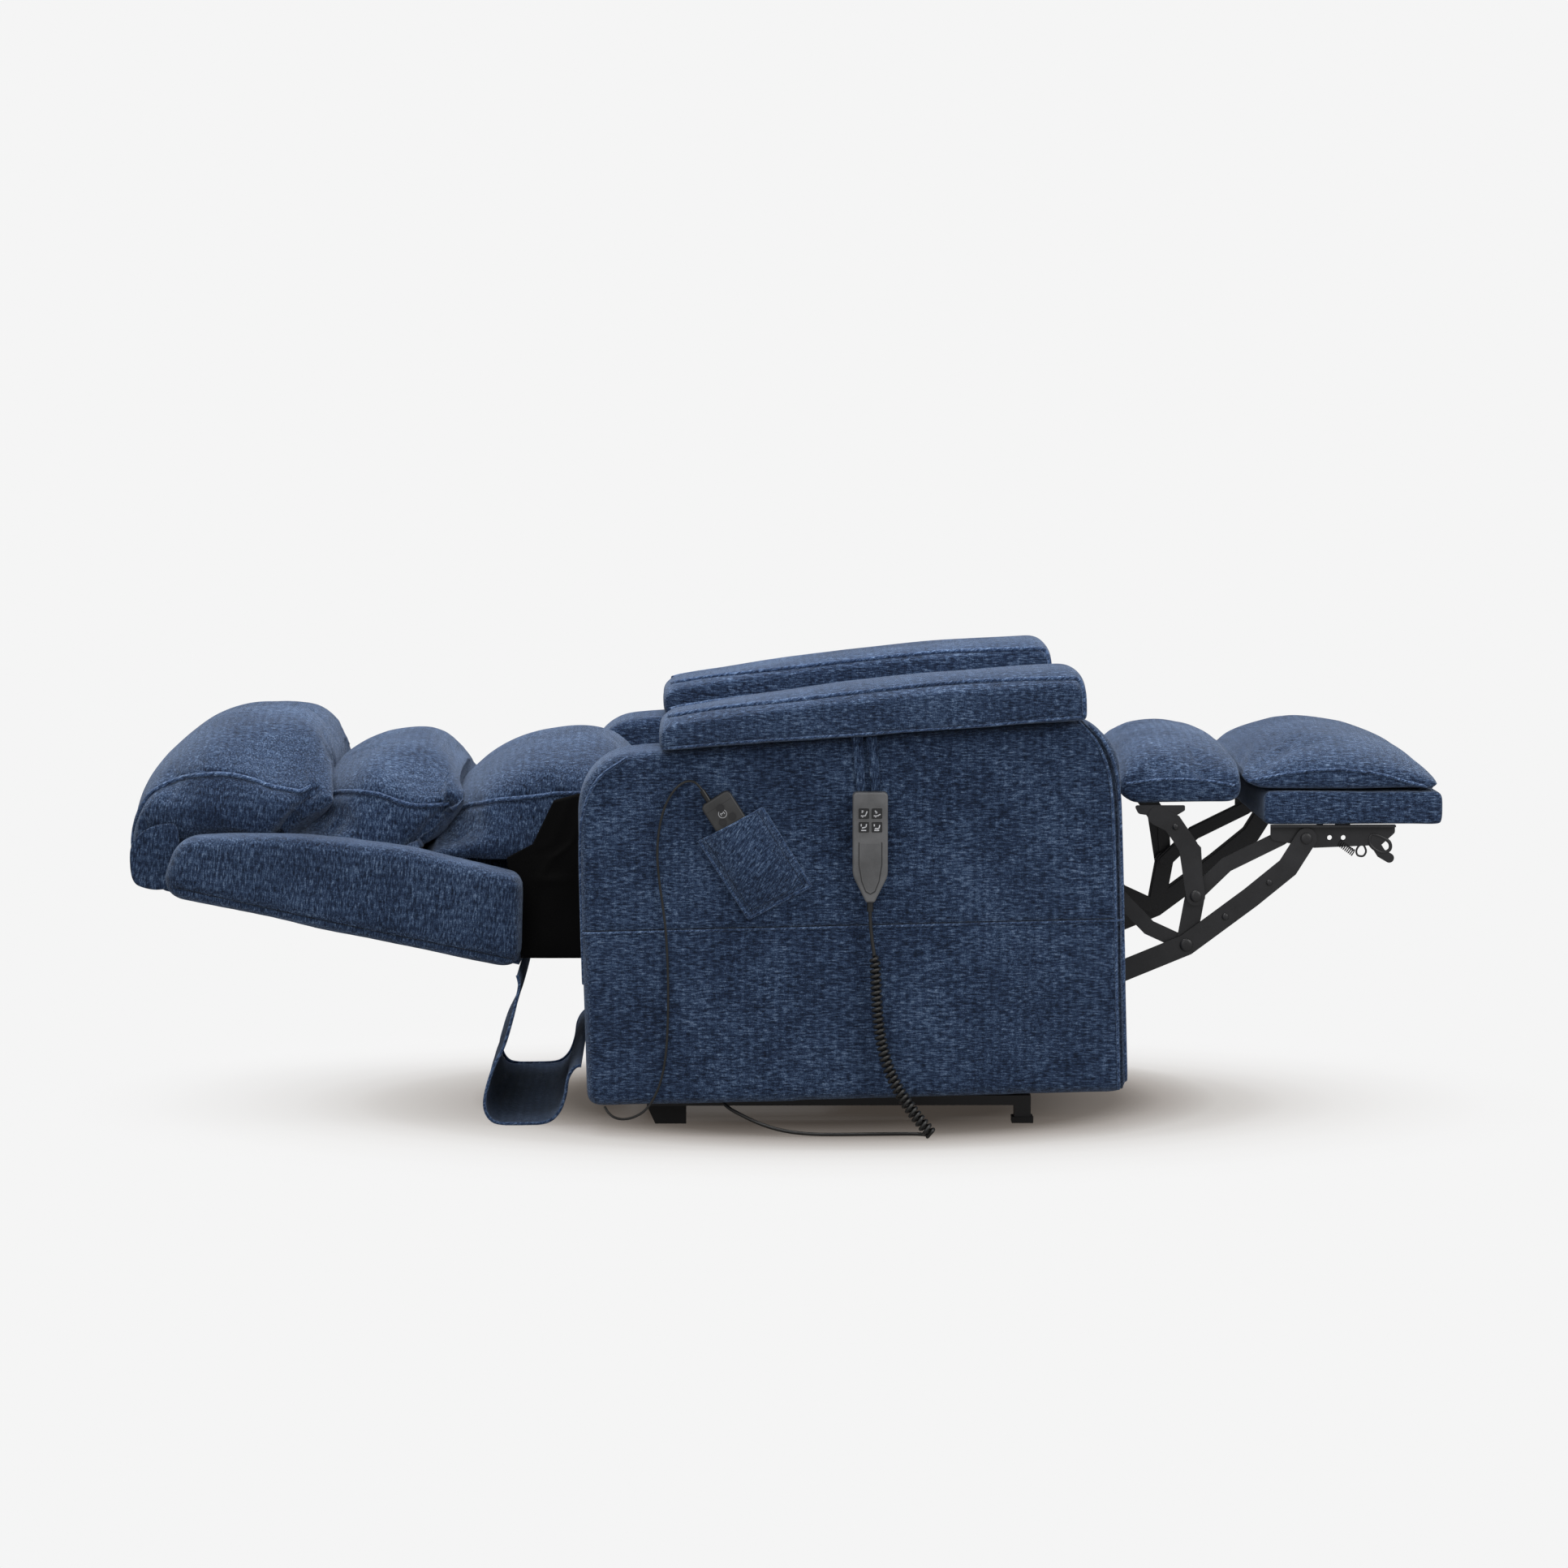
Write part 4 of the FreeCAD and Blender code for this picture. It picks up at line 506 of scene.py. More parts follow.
# the same routes as the CAD tubes, in mm
cords = {
    "handsetLead": {
        "node": "handset_lead", "radius": 2.6, "length": 60, "lay": "hanging",
        "route": [(115.4, -452, 324), (115.8, -452.3, 311), (117, -452.8, 295), (119, -453.4, 278),
                  (121.2, -454.2, 264)],
    },
    "curlyCord": {
        "node": "curly_cord", "radius": 2.6, "length": 1446, "lay": "hanging", "curls": 35,
        "outer": (8.2, 10), "opening": 1.25, "stepsPerTurn": 16,
        "route": [(121.2, -454.2, 264), (122.8, -455, 250), (123.6, -456, 226), (125, -457.5, 188),
                  (129, -459.5, 150), (136.5, -462, 114), (149, -465.5, 82), (166, -470, 53), (184, -474, 29),
                  (201, -477, 8.6)],
        "leaves": (196.87, -471.06, 3.17),
    },
    "floorLead": {
        "node": "floor_lead", "radius": 2.6, "length": 334, "lay": "loose",
        "route": [(196.9, -471.1, 3.2), (200.3, -459.4, 2.9), (195.8, -447.9, 2.9), (186, -441.2, 2.9),
                  (170, -439.8, 3), (146, -440.6, 2.9), (112, -442.5, 3), (72, -444.5, 2.9), (32, -445, 3.2),
                  (-6, -442, 7), (-40, -434, 16), (-68, -422, 28), (-86.5, -409.5, 36.4),
                  (-94, -402, 43.2)],
    },
    "controlLead": {
        "node": "control_lead", "radius": 1.8, "length": 594, "lay": "hanging",
        "route": [(-123.6, -447.9, 497.4), (-128.4, -447.9, 505), (-138, -447.8, 511), (-149.5, -447.6, 509),
                  (-161, -447.2, 500), (-171.5, -446.6, 485), (-180, -446, 464), (-185.6, -445.4, 437),
                  (-187.8, -444.9, 404), (-184.8, -444.5, 368), (-179.5, -444.3, 332), (-175, -444.2, 294),
                  (-172.5, -444.2, 245), (-172, -444.2, 190), (-173.5, -444.2, 140), (-178, -444.2, 98),
                  (-187, -444.2, 66), (-203, -443, 38), (-225, -437, 25), (-245, -429.5, 23), (-259, -423, 31),
                  (-263.5, -420.5, 40.6)],
    },
}


def routeLine(points):
    probe = newObject("routeProbe", pipe("routeProbe", points, 0, 24))
    line = [v.co.copy() for v in baked(probe).vertices]
    bpy.data.objects.remove(probe)
    return line


def helixOn(cord):
    count = cord["curls"] * cord["stepsPerTurn"]
    line = evenLine(routeLine([mm(*p) for p in cord["route"]]), count)
    out = Vector((0, -1, 0))
    points = []
    top, bottom = cord["outer"]
    for k in range(1, count):
        ahead = (line[k + 1] - line[k - 1]).normalized()
        out = (out - ahead * out.dot(ahead)).normalized()
        turn = k / cord["stepsPerTurn"]
        left = cord["curls"] - turn
        ease = min(1, turn / cord["opening"])
        ease = ease * ease * (3 - 2 * ease)
        radius = ((top + (bottom - top) * k / count) - cord["radius"]) / 1000 * ease
        angle = 2 * math.pi * -left
        points.append(line[k] + (out * math.cos(angle) + ahead.cross(out) * math.sin(angle)) * radius)
    return [line[0], line[0].lerp(points[0], 0.5)] + points + [mm(*cord["leaves"])]


def buildCords():
    for name, cord in cords.items():
        points, fineness = [mm(*p) for p in cord["route"]], 10
        if "curls" in cord:
            points, fineness = helixOn(cord), 2
        piece = newObject(name, pipe(name, points, cord["radius"] / 1000, fineness))
        piece.data.materials.append(paints["sheath"])
        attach(piece, "chair")
        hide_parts(cord["node"])


pads = {
    # voxel, shrink and cap in mm; only those with a pressure are blown up as cloth, by no more than the cap
    "head_cushion": {"body": "back", "voxel": 7, "pressure": 5, "cap": 22, "shrink": 5, "fill": 0.7, "relax": 12},
    "middle_cushion": {"body": "back", "voxel": 8, "pressure": 5, "cap": 20, "shrink": 8, "fill": 0.7},
    "lumbar_cushion": {"body": "back", "voxel": 8, "pressure": 5, "cap": 20, "shrink": 8, "fill": 0.7},
    "seat_cushion": {"body": "chair", "voxel": 8, "shrink": 1, "fill": 0.8, "rumple": (0.003, (8, 8, 8))},
    "wing_right": {"body": "back", "voxel": 6, "shrink": 0.3, "fill": 0.8, "relax": 10},
    "armrest_right": {"body": "chair", "voxel": 6, "shrink": 0.3, "fill": 0.8, "relax": 4},
    "arm_side_right": {"body": "chair", "voxel": 8, "shrink": 1.2, "fill": 0.9},
    "middle_pad": {"body": "middle", "voxel": 7, "pressure": 7, "cap": 9, "shrink": 3, "fill": 0.7,
                   "rumple": (0.002, (14, 12, 10))},
    "outer_pad": {"body": "foot", "voxel": 7, "pressure": 7, "cap": 9, "shrink": 3, "fill": 0.7,
                  "rumple": (0.0022, (12, 10, 10))},
    "foot_board": {"body": "foot", "voxel": 6, "shrink": 1, "fill": 0.9, "rumple": (0.0012, (14, 10, 14))},
    "back_cover": {"body": "back", "voxel": 5, "shrink": 1, "fill": 0.3, "rumple": (0.002, (12, 10, 10))},
}

foamCloth = {
    "quality": 3, "mass": 0.25, "tension_stiffness": 12, "compression_stiffness": 12, "shear_stiffness": 4,
    "bending_stiffness": 0.4, "use_pressure": True, "vertex_group_mass": "held",
}
foamSteps = 14
foamHeld = 0.012  # height of the held rim at the bottom, in metres


def swell(piece, pad):
    if "pressure" not in pad:
        return
    start = [v.co.copy() for v in piece.data.vertices]
    low = min(p.z for p in start) + foamHeld
    held = piece.vertex_groups.new(name="held")
    held.add([i for i, p in enumerate(start) if p.z < low], 1.0, "REPLACE")
    settings = piece.modifiers.new("cloth", "CLOTH").settings
    for key, value in foamCloth.items():
        setattr(settings, key, value)
    settings.uniform_pressure_force = pad["pressure"]
    settings.effector_weights.gravity = 0
    for step in range(1, foamSteps + 1):
        scene.frame_set(step)
    mesh = evaluated(piece)
    cap = pad["cap"] / 1000
    for vertex, p in zip(mesh.vertices, start):
        move = vertex.co - p
        if move.length > cap:
            vertex.co = p + move * (cap / move.length)
    scene.frame_set(1)


def softForm(node, ease=2):
    # the CAD form, filled out like foam under cloth
    pad = pads[node]
    piece = newObject(camel(node), nodes[node].data.copy())
    remesh = piece.modifiers.new("remesh", "REMESH")
    remesh.mode = "VOXEL"
    remesh.voxel_size = pad["voxel"] / 1000
    relax = piece.modifiers.new("relax", "SMOOTH")
    relax.factor, relax.iterations = 0.5, pad.get("relax", 5)
    mesh = evaluated(piece)
    shift = pad["shrink"] / 1000
    moved = [v.co - v.normal * shift for v in mesh.vertices]
    for vertex, p in zip(mesh.vertices, moved):
        vertex.co = p
    swell(piece, pad)
    split = piece.modifiers.new("split", "SUBSURF")
    split.levels = split.render_levels = 1
    even = piece.modifiers.new("ease", "SMOOTH")
    even.factor, even.iterations = 0.5, ease
    return piece, evaluated(piece)


def sunk(mesh, line, depth, width):
    # a seam pulled in along a line
    if not line:
        return
    tree = kdtree.KDTree(len(line))
    for i, p in enumerate(line):
        tree.insert(p, i)
    tree.balance()
    normals = [v.normal.copy() for v in mesh.vertices]
    for vertex, normal in zip(mesh.vertices, normals):
        distance = tree.find(vertex.co)[2]
        if distance < width * 3:
            vertex.co -= normal * (depth * math.exp(-(distance / width) ** 2))


def treeOf(piece):
    return BVHTree.FromPolygons([v.co for v in piece.data.vertices], [p.vertices for p in piece.data.polygons])


def onSurface(piece, starts, direction, lift=0.0):
    tree = treeOf(piece)
    found = []
    aim = Vector(direction).normalized()
    for start in starts:
        hit = tree.ray_cast(Vector(start), aim)
        if hit[0] is not None:
            found.append(hit[0] - aim * lift)
    return found


def eased(points, knots=40):
    return smoothLine(evenLine(points, knots), knots * 4)


def finishPad(piece, node, paint="upholstery", pair=False):
    pad = pads[node]
    mesh = piece.data
    mesh.materials.clear()
    mesh.materials.append(paints[paint])
    shadeSmooth(mesh)
    made = [(piece, node)]
    if pair:
        mesh = mesh.copy()
        mesh.transform(Matrix.Scale(-1, 4, (0, 1, 0)))
        mesh.flip_normals()
        made.append((newObject(piece.name.replace("Right", "Left"), mesh), node.replace("right", "left")))
    for piece, node in made:
        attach(piece, pad["body"])
        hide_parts(node)


def camel(node):
    first, *rest = node.split("_")
    return first + "".join(word.title() for word in rest)


weltRadius = 3.3  # mm

cushionWelts = {
    # X and Z in mm of the welt along each side
    "head_cushion": [(-916, 345), (-936, 346), (-946, 358), (-954, 388), (-955, 417), (-948, 440), (-937, 463),
                     (-924, 479), (-903, 491), (-875, 501), (-846, 505), (-823, 506), (-799, 503), (-775, 497),
                     (-752, 489), (-723, 483), (-705, 481), (-692, 488)],
    "middle_cushion": [(-722, 412), (-714, 437), (-705, 450), (-686, 464), (-662, 475), (-639, 479), (-615, 479),
                       (-591, 475), (-567, 466), (-544, 460), (-515, 459), (-492, 462)],
    "lumbar_cushion": [(-545, 396), (-534, 412), (-515, 429), (-492, 445), (-468, 456), (-444, 462), (-421, 467),
                       (-397, 469), (-374, 471), (-350, 474), (-327, 476), (-291, 477)],
}

cushionCreases = {
    # where one cushion's side tucks behind the next
    "head_cushion": [[(-748, 396), (-722, 436), (-690, 478)]],
    "middle_cushion": [[(-740, 396), (-712, 436), (-682, 478)], [(-557, 384), (-528, 420), (-496, 458)]],
    "lumbar_cushion": [[(-546, 384), (-518, 420), (-488, 458)]],
}


def heightAt(profile, x):
    for (x1, z1), (x2, z2) in zip(profile, profile[1:]):
        if x1 <= x <= x2 and x2 > x1:
            return z1 + (z2 - z1) * (x - x1) / (x2 - x1)
    return profile[0][1] if x < profile[0][0] else profile[-1][1]


shoulder = {"base": 395, "half": 266, "reach": 105, "least": 60}  # mm


def shoulderTo(piece, profile):
    # draw the side edge of a cushion down to its welt line, and leave the crest as it is
    base, half, reach = shoulder["base"], shoulder["half"], shoulder["reach"]
    top = [p for p in profile if p[1] > base + 20]
    tree = treeOf(piece)
    edges = {}
    for x in range(int(top[0][0]), int(top[-1][0]) + 1, 4):
        hit = tree.ray_cast(mm(x, half - 9, 900), Vector((0, 0, -1)))
        if hit[0] is not None:
            edges[x] = min(1, (heightAt(top, x) - base) / max(shoulder["least"], hit[0].z * 1000 - base))
    for vertex in piece.data.vertices:
        p = vertex.co
        share = min(1, max(0, (abs(p.y) * 1000 - half + reach) / reach))
        if p.z * 1000 > base and share > 0:
            share = share * share * (3 - 2 * share)
            near = min(edges, key=lambda k: abs(k - p.x * 1000))
            p.z = (base + (p.z * 1000 - base) * (1 + (edges[near] - 1) * share)) / 1000


def buildBackCushions():
    for node, profile in cushionWelts.items():
        piece, mesh = softForm(node)
        shoulderTo(piece, profile)
        rumple(mesh, 0.0034, (20, 6, 8), 3.1, lambda p: min(1, (abs(p.y) / 0.26) ** 3 + 0.12))
        rumple(mesh, 0.0020, (6, 8, 8), 7.7)
        for sign, side in sides:
            def onSide(points, count, lift=0.0):
                return onSurface(piece, smoothLine(drawn(points, sign * 400), count), (0, -sign, 0), lift)

            sunk(mesh, onSide(profile, 150), 0.0022, 0.0065)
            for crease in cushionCreases[node]:
                sunk(mesh, onSide(crease, 60), 0.011, 0.011)
            hits = eased(onSide(profile, 150, 0.0022))
            tube(f"{piece.name}Welt{side}", hits, weltRadius / 1000, pads[node]["body"])
        finishPad(piece, node)
        boxing(piece)


def boxing(piece):
    # the sides are cut with their rows upright
    piece.data.materials.append(paints["upright"])
    for polygon in piece.data.polygons:
        if abs(polygon.normal.y) > 0.62:
            polygon.material_index = 1


pullTogether = {
    # the two legrest pads meet when the legrest is out: from X, to X, how far the end moves
    "middle_pad": (600, 652, 13),
    "outer_pad": (730, 676, -8),
}

padWelts = {
    "middle_pad": [(494, 491), (553, 497), (610, 495), (652, 488)],
    "outer_pad": [(672, 494), (700, 500), (740, 507), (788, 511), (830, 509), (870, 503), (915, 490), (945, 484)],
}


def buildPlainPads():
    for node in ("seat_cushion", "middle_pad", "outer_pad", "foot_board", "back_cover"):
        piece, mesh = softForm(node)
        if node in pullTogether:
            start, end, shift = pullTogether[node]
            for vertex in mesh.vertices:
                share = min(1, max(0, (vertex.co.x * 1000 - start) / (end - start)))
                vertex.co.x += shift / 1000 * share
        amount, scale = pads[node]["rumple"]
        rumple(mesh, amount, scale, 5.3)
        finishPad(piece, node)
    for node, profile in padWelts.items():
        hits = onSurface(bpy.data.objects[camel(node)], smoothLine(drawn(profile, -320), 60), (0, 1, 0), 0.001)
        mirroredTube(f"{camel(node)}Welt", eased(hits, 20), 0.0022, pads[node]["body"])


armSeams = {
    "level": [(-296, 291.5), (90, 300.3), (482, 309.2)],
    "front": [(424, 592), (448, 566), (464, 530), (471, 490), (474, 430), (477, 330), (479, 220), (482, 110),
              (483, 66)],
    "rear": [(-291, 90), (-293, 200), (-296, 330), (-297, 430), (-289, 478), (-268, 516), (-232, 541)],
}

armTubes = [
    # name, seam, shift in X and Z in mm, then lift and radius in metres, and paint
    # the welt tubes carry the welt's painted highlight; the two dark tubes are painted shadow, just above the level
    # seam's ridge and between the front welts
    ("armLevelSeam", "level", 0, 0, 0.0010, 0.0019, "welt"),
    ("armLevelPaintedShadow", "level", 0, 3.2, 0.0003, 0.0009, "seamShade"),
    ("armFrontWelt", "front", 0, 0, 0.0016, 0.0027, "welt"),
    ("armFrontInnerWelt", "front", -11, 0, 0.0010, 0.0022, "welt"),
    ("armFrontPaintedShadow", "front", -5.6, 0, 0.0002, 0.0016, "seamShade"),
    ("armRearWelt", "rear", 0, 0, 0.0012, 0.0023, "welt"),
]


def buildArmSides():
    piece, mesh = softForm("arm_side_right", 1)
    rumple(mesh, 0.0012, (5, 5, 4), 1.7)
    rumple(mesh, 0.0005, (16, 10, 12), 4.4)
    lines = {name: smoothLine(drawn(armSeams[name], y), count)
             for name, y, count in (("level", -440, 220), ("front", -438, 120), ("rear", -440, 90))}
    sunk(mesh, lines["level"], 0.0024, 0.0055)
    sunk(mesh, [p + mm(-7, 0, 0) for p in lines["front"]], 0.0018, 0.0045)
    finishPad(piece, "arm_side_right", pair=True)
    for name, seam, dx, dz, lift, radius, paint in armTubes:
        starts = [p + mm(dx, -50, dz) for p in lines[seam]]
        mirroredTube(name, onSurface(piece, starts, (0, 1, 0), lift), radius, "chair", paint)


armrestSeams = {
    "top": [(-186, 566), (-186, 590), (-175, 601), (-101, 614), (4, 626), (108, 638), (214, 649), (293, 654),
            (398, 657), (412, 652), (417, 637), (418, 606)],
    "low": [(-182, 558), (-49, 569), (108, 579), (267, 590), (414, 603)],
}


def buildArmrests():
    piece, mesh = softForm("armrest_right")
    rumple(mesh, 0.0018, (9, 12, 10), 2.2)
    top, low = [smoothLine(drawn(armrestSeams[name], -600), 120) for name in ("top", "low")]
    sunk(mesh, onSurface(piece, top, (0, 1, 0)), 0.0020, 0.005)
    sunk(mesh, onSurface(piece, low, (0, 1, 0)), 0.0020, 0.004)
    finishPad(piece, "armrest_right", pair=True)
    inner = [p + mm(0, 600, 0) for p in top]
    for name, line, aim, lift, radius in (("Top", top, 1, 0.0020, 0.0034), ("Low", low, 1, 0.0012, 0.0020),
                                          ("Inner", inner, -1, 0.0020, 0.0034)):
        mirroredTube(f"armrest{name}Welt", eased(onSurface(piece, line, (0, aim, 0), lift)), radius, "chair")


wingSeam = [(-884, 348), (-740, 315), (-600, 285), (-470, 258), (-396, 242)]  # X and Z on the outer face


def buildWings():
    piece, mesh = softForm("wing_right")
    rumple(mesh, 0.0022, (12, 8, 9), 6.1)
    line = smoothLine(drawn(wingSeam, -600), 120)
    sunk(mesh, onSurface(piece, line, (0, 1, 0)), 0.0026, 0.006)
    finishPad(piece, "wing_right", "upright", pair=True)
    # a dark tube along the wing seam: painted shadow in its groove
    mirroredTube("wingSeam", eased(onSurface(piece, line, (0, 1, 0), 0.0004)), 0.0010, "back", "seamShade")


coverFlap = {
    # the flap of cover cloth that closes each rear corner of the back, a very flat dome
    "rim": [(-950, 350), (-955, 372), (-953, 402), (-935, 424), (-905, 434), (-886, 428), (-884, 380), (-888, 346),
            (-912, 338), (-936, 341)],
    "half": 267.2, "dome": 0.2, "thick": 1.2, "rings": 14,
}


def buildCoverEnds():
    ring, rings = drawn(coverFlap["rim"]), coverFlap["rings"]
    centre = sum(ring, Vector()) / len(ring)
    rim = smoothLine(ring, 60, closed=True)
    for sign, side in sides:
        bm = bmesh.new()
        rows = [[centre.lerp(p, k / rings) + mm(0, sign * (coverFlap["half"] - coverFlap["dome"] * k / rings), 0)
                 for p in rim] for k in range(1, rings + 1)]
        bm.faces.new(gridMesh(bm, rows, wrap=True)[0])
        place("backCornerFlap" + side, bm, "back", "upright", thick=coverFlap["thick"])


skirt = {
    "profile": [(-299, 87), (-306, 86), (-313, 79), (-319, 66), (-322.5, 43.8), (-332, 19.3), (-350, 5), (-385, 2.4),
                (-411, 2.6), (-428, 7), (-438, 22), (-438, 44), (-427, 82), (-411, 116), (-401, 148), (-393, 180),
                (-388, 204), (-391, 219)],
    "half": 328, "thick": 1.6, "wave": 6, "rows": 90, "columns": 60,
}


def buildBackSkirt():
    # a strip of cloth with an X-Z profile, drawn across from one side to the other
    rows, columns = skirt["rows"], skirt["columns"]
    drop = smoothLine(drawn(skirt["profile"]), 200)
    line = evenLine(drop, rows)
    grid = []
    for k, p in enumerate(line):
        ahead = (line[min(k + 1, rows)] - line[max(k - 1, 0)]).normalized()
        out = Vector((-ahead.z, 0, ahead.x)) * (skirt["wave"] / 1000 * math.sin(math.pi * k / rows))
        row = []
        for c in range(columns + 1):
            y = (c / columns * 2 - 1) * skirt["half"] / 1000
            q = p + out * noise.noise(Vector((k * 0.05, y * 9, 0.4)))
            row.append(Vector((q.x, y, max(q.z, 0.0012))))
        grid.append(row)
    bm = bmesh.new()
    gridMesh(bm, grid)
    piece = place("backSkirt", bm, None, "upholstery", thick=skirt["thick"], stands="back_skirt")
    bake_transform(piece)
    for sign, side in sides:
        line = evenLine(smoothLine(drawn(skirt["profile"], sign * skirt["half"]), 200), 120)
        edge = tube("backSkirtEdge", [Vector((p.x, p.y, max(p.z, 0.0024))) for p in line], 0.0024, None)
        welt = newObject("backSkirtWelt" + side, baked(edge))
        bpy.data.objects.remove(edge)
        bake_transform(welt)


dustCloth = {
    # rear edge and front edge, from the bottom up, as X and Z
    "rear": [(-388, 237), (-391, 300), (-404, 350), (-408, 384), (-370, 404), (-339, 468)],
    "front": [(-300, 237), (-299, 300), (-297, 360), (-296, 384), (-296, 410), (-295, 480)],
    "inner": 267.2, "outer": 269, "thick": 1.2,
}


def cornerGrid(corners, y, columns, rows, height):
    # a cloth panel between four X-Z corners; height(u, v) lifts it outwards
    a, b, c, d = [mm(x, y, z) for x, z in corners]
    grid = []
    for r in range(rows + 1):
        v = r / rows
        left, right = a.lerp(d, v), b.lerp(c, v)
        grid.append([left.lerp(right, k / columns) - Vector((0, height(k / columns, v), 0))
                     for k in range(columns + 1)])
    return grid


def buildDustCloth():
    rear, front = [[a.lerp(b, k / 12) for a, b in zip(line, line[1:]) for k in range(12)] + [line[-1]]
                   for line in (drawn(dustCloth["rear"]), drawn(dustCloth["front"]))]
    bm = bmesh.new()
    for sign in (-1, 1):
        grid = []
        for r, (a, b) in enumerate(zip(rear, front)):
            row = []
            for k in range(29):
                u, p = k / 28, a.lerp(b, k / 28)
                fold = 0.0016 * math.exp(-((p.z - 0.352) / 0.006) ** 2)
                fold += 0.0014 * math.exp(-((u - r / 60) / 0.06) ** 2)
                sag = 0.0018 * noise.noise(Vector((u * 3, r * 0.09, 2.0))) * math.sin(math.pi * u)
                free = min(1, max(0, (p.x + 0.380) / 0.03))
                y = dustCloth["inner"] + (dustCloth["outer"] - dustCloth["inner"]) * free
                row.append(Vector((p.x, sign * (y / 1000 + (fold + sag) * free * math.sin(math.pi * u)), p.z)))
            grid.append(row)
        gridMesh(bm, grid)
    piece = place("dustCloth", bm, "back", "blackCloth", "dark_cloth", dustCloth["thick"], "dust_cloth")


pocket = {
    # mouth rear, mouth front, bottom front, bottom rear
    "corners": [(-127, 424), (-38, 471.5), (31, 360), (-57, 314)],
    "back": -441.2, "depth": 15.5, "thick": 1.6, "edge": 2.7,
    "columns": 48, "rows": 60, "seamInset": 4,
}


def pocketLift(u, v):
    across = max(0.0, 1 - abs(2 * u - 1) ** 2.6)
    down = 1 - max(0.0, (v - 0.55) / 0.45) ** 1.6
    crease = 0.0012 * noise.noise(Vector((u * 4, v * 5, 9.1)))
    return 0.0022 + pocket["depth"] / 1000 * across * down + crease


def buildPocket():
    columns, rows, inset = pocket["columns"], pocket["rows"], pocket["seamInset"]
    bm = bmesh.new()
    grid = cornerGrid(pocket["corners"], pocket["back"], columns, rows, pocketLift)
    front = gridMesh(bm, grid)
    rear = gridMesh(bm, cornerGrid(pocket["corners"], pocket["back"], columns, rows, lambda u, v: 0.0))
    for i in range(rows):
        for column in (0, -1):
            bm.faces.new((front[i][column], front[i + 1][column], rear[i + 1][column], rear[i][column]))
    for k in range(columns):
        bm.faces.new((front[-1][k], front[-1][k + 1], rear[-1][k + 1], rear[-1][k]))
    piece = place("pocketBag", bm, "chair", "pocketCloth", thick=pocket["thick"], stands="pocket")
    rim = [row[0] for row in grid] + grid[-1][1:] + [row[-1] for row in reversed(grid)][1:]
    seams = (("Rear", [row[inset] for row in grid]), ("Front", [row[-1 - inset] for row in grid]),
             ("Low", grid[-1 - inset][inset:-inset]))
    tube("pocketWelt", [p + mm(0, -0.6, 0) for p in rim], pocket["edge"] / 1000, "chair")
    tube("pocketHem", [p + mm(0, -0.4, 0) for p in grid[0]], 0.0019, "chair")
    # the three dark seam tubes are painted shadow in the seams; the welt and hem carry the welt's painted highlight
    for name, line in seams:
        tube("pocketSeamShadow" + name, [p + mm(0, -0.6, 0) for p in line], 0.0006, "chair", "seamShade")


strap = {
    "strips": [[(89, 573), (105, 573), (109.3, 495), (96.7, 495)],
               [(109.8, 573), (125.5, 573), (131.2, 495), (117.4, 495)]],
    "y": -441.4, "thick": 1.6, "bow": 0.0009,
}


def buildStrap():
    bm = bmesh.new()
    for corners in strap["strips"]:
        gridMesh(bm, cornerGrid(corners, strap["y"], 10, 40, lambda u, v: strap["bow"] * math.sin(math.pi * v)))
    piece = place("handsetStrap", bm, "chair", "strapCloth", "strap_cloth", strap["thick"], "handset_strap")


webbing = {"bands": 4, "pitch": 0.105, "width": 0.055, "thick": 2.4}  # metres, and mm for the thickness


def buildWebbing():
    lo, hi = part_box("seat_webbing")
    bands, width = webbing["bands"], webbing["width"]
    z = (lo.z + hi.z) / 2
    bm = bmesh.new()
    for k in range(bands):
        y = (k - (bands - 1) / 2) * webbing["pitch"]
        gridMesh(bm, [[Vector((lo.x + (hi.x - lo.x) * (r / 40), y + (c / 12 - 0.5) * width,
                               z + 0.0002 * math.sin(c * 3.1))) for c in range(13)] for r in range(41)])
    piece = place("seatWebbing", bm, "chair", "webbing", "webbing", webbing["thick"], "seat_webbing")


def plateMesh(name, outlines, thick, centre, body, paint, slotName, across=Vector((1, 0, 0)),
              up=Vector((0, 0, 1)), out=Vector((0, -1, 0))):
    # flat raised shapes drawn in a plane: outlines in mm along across and up
    bm = bmesh.new()
    for loop in outlines:
        points = [centre + across * (x / 1000) + up * (z / 1000) for x, z in loop]
        back, front = gridMesh(bm, [points, [p + out * (thick / 1000) for p in points]], wrap=True)
        bm.faces.new(front)
        bm.faces.new(back[::-1])
    shadeSmooth(place(name, bm, body, paint, slotName).data, False)


def ringLoops(radius, width, count=20):
    # a ring as short quads
    spokes = [Matrix.Rotation(2 * math.pi * i / count, 2) @ Vector((1, 0)) for i in range(count + 1)]
    return [[a * radius, b * radius, b * (radius - width), a * (radius - width)] for a, b in zip(spokes, spokes[1:])]


def strokes(lines, width):
    loops = []
    for (x1, z1), (x2, z2) in lines:
        length = math.hypot(x2 - x1, z2 - z1) or 1
        dx, dz = (z2 - z1) / length * width / 2, -(x2 - x1) / length * width / 2
        loops.append([(x1 + dx, z1 + dz), (x2 + dx, z2 + dz), (x2 - dx, z2 - dz), (x1 - dx, z1 - dz)])
    return loops


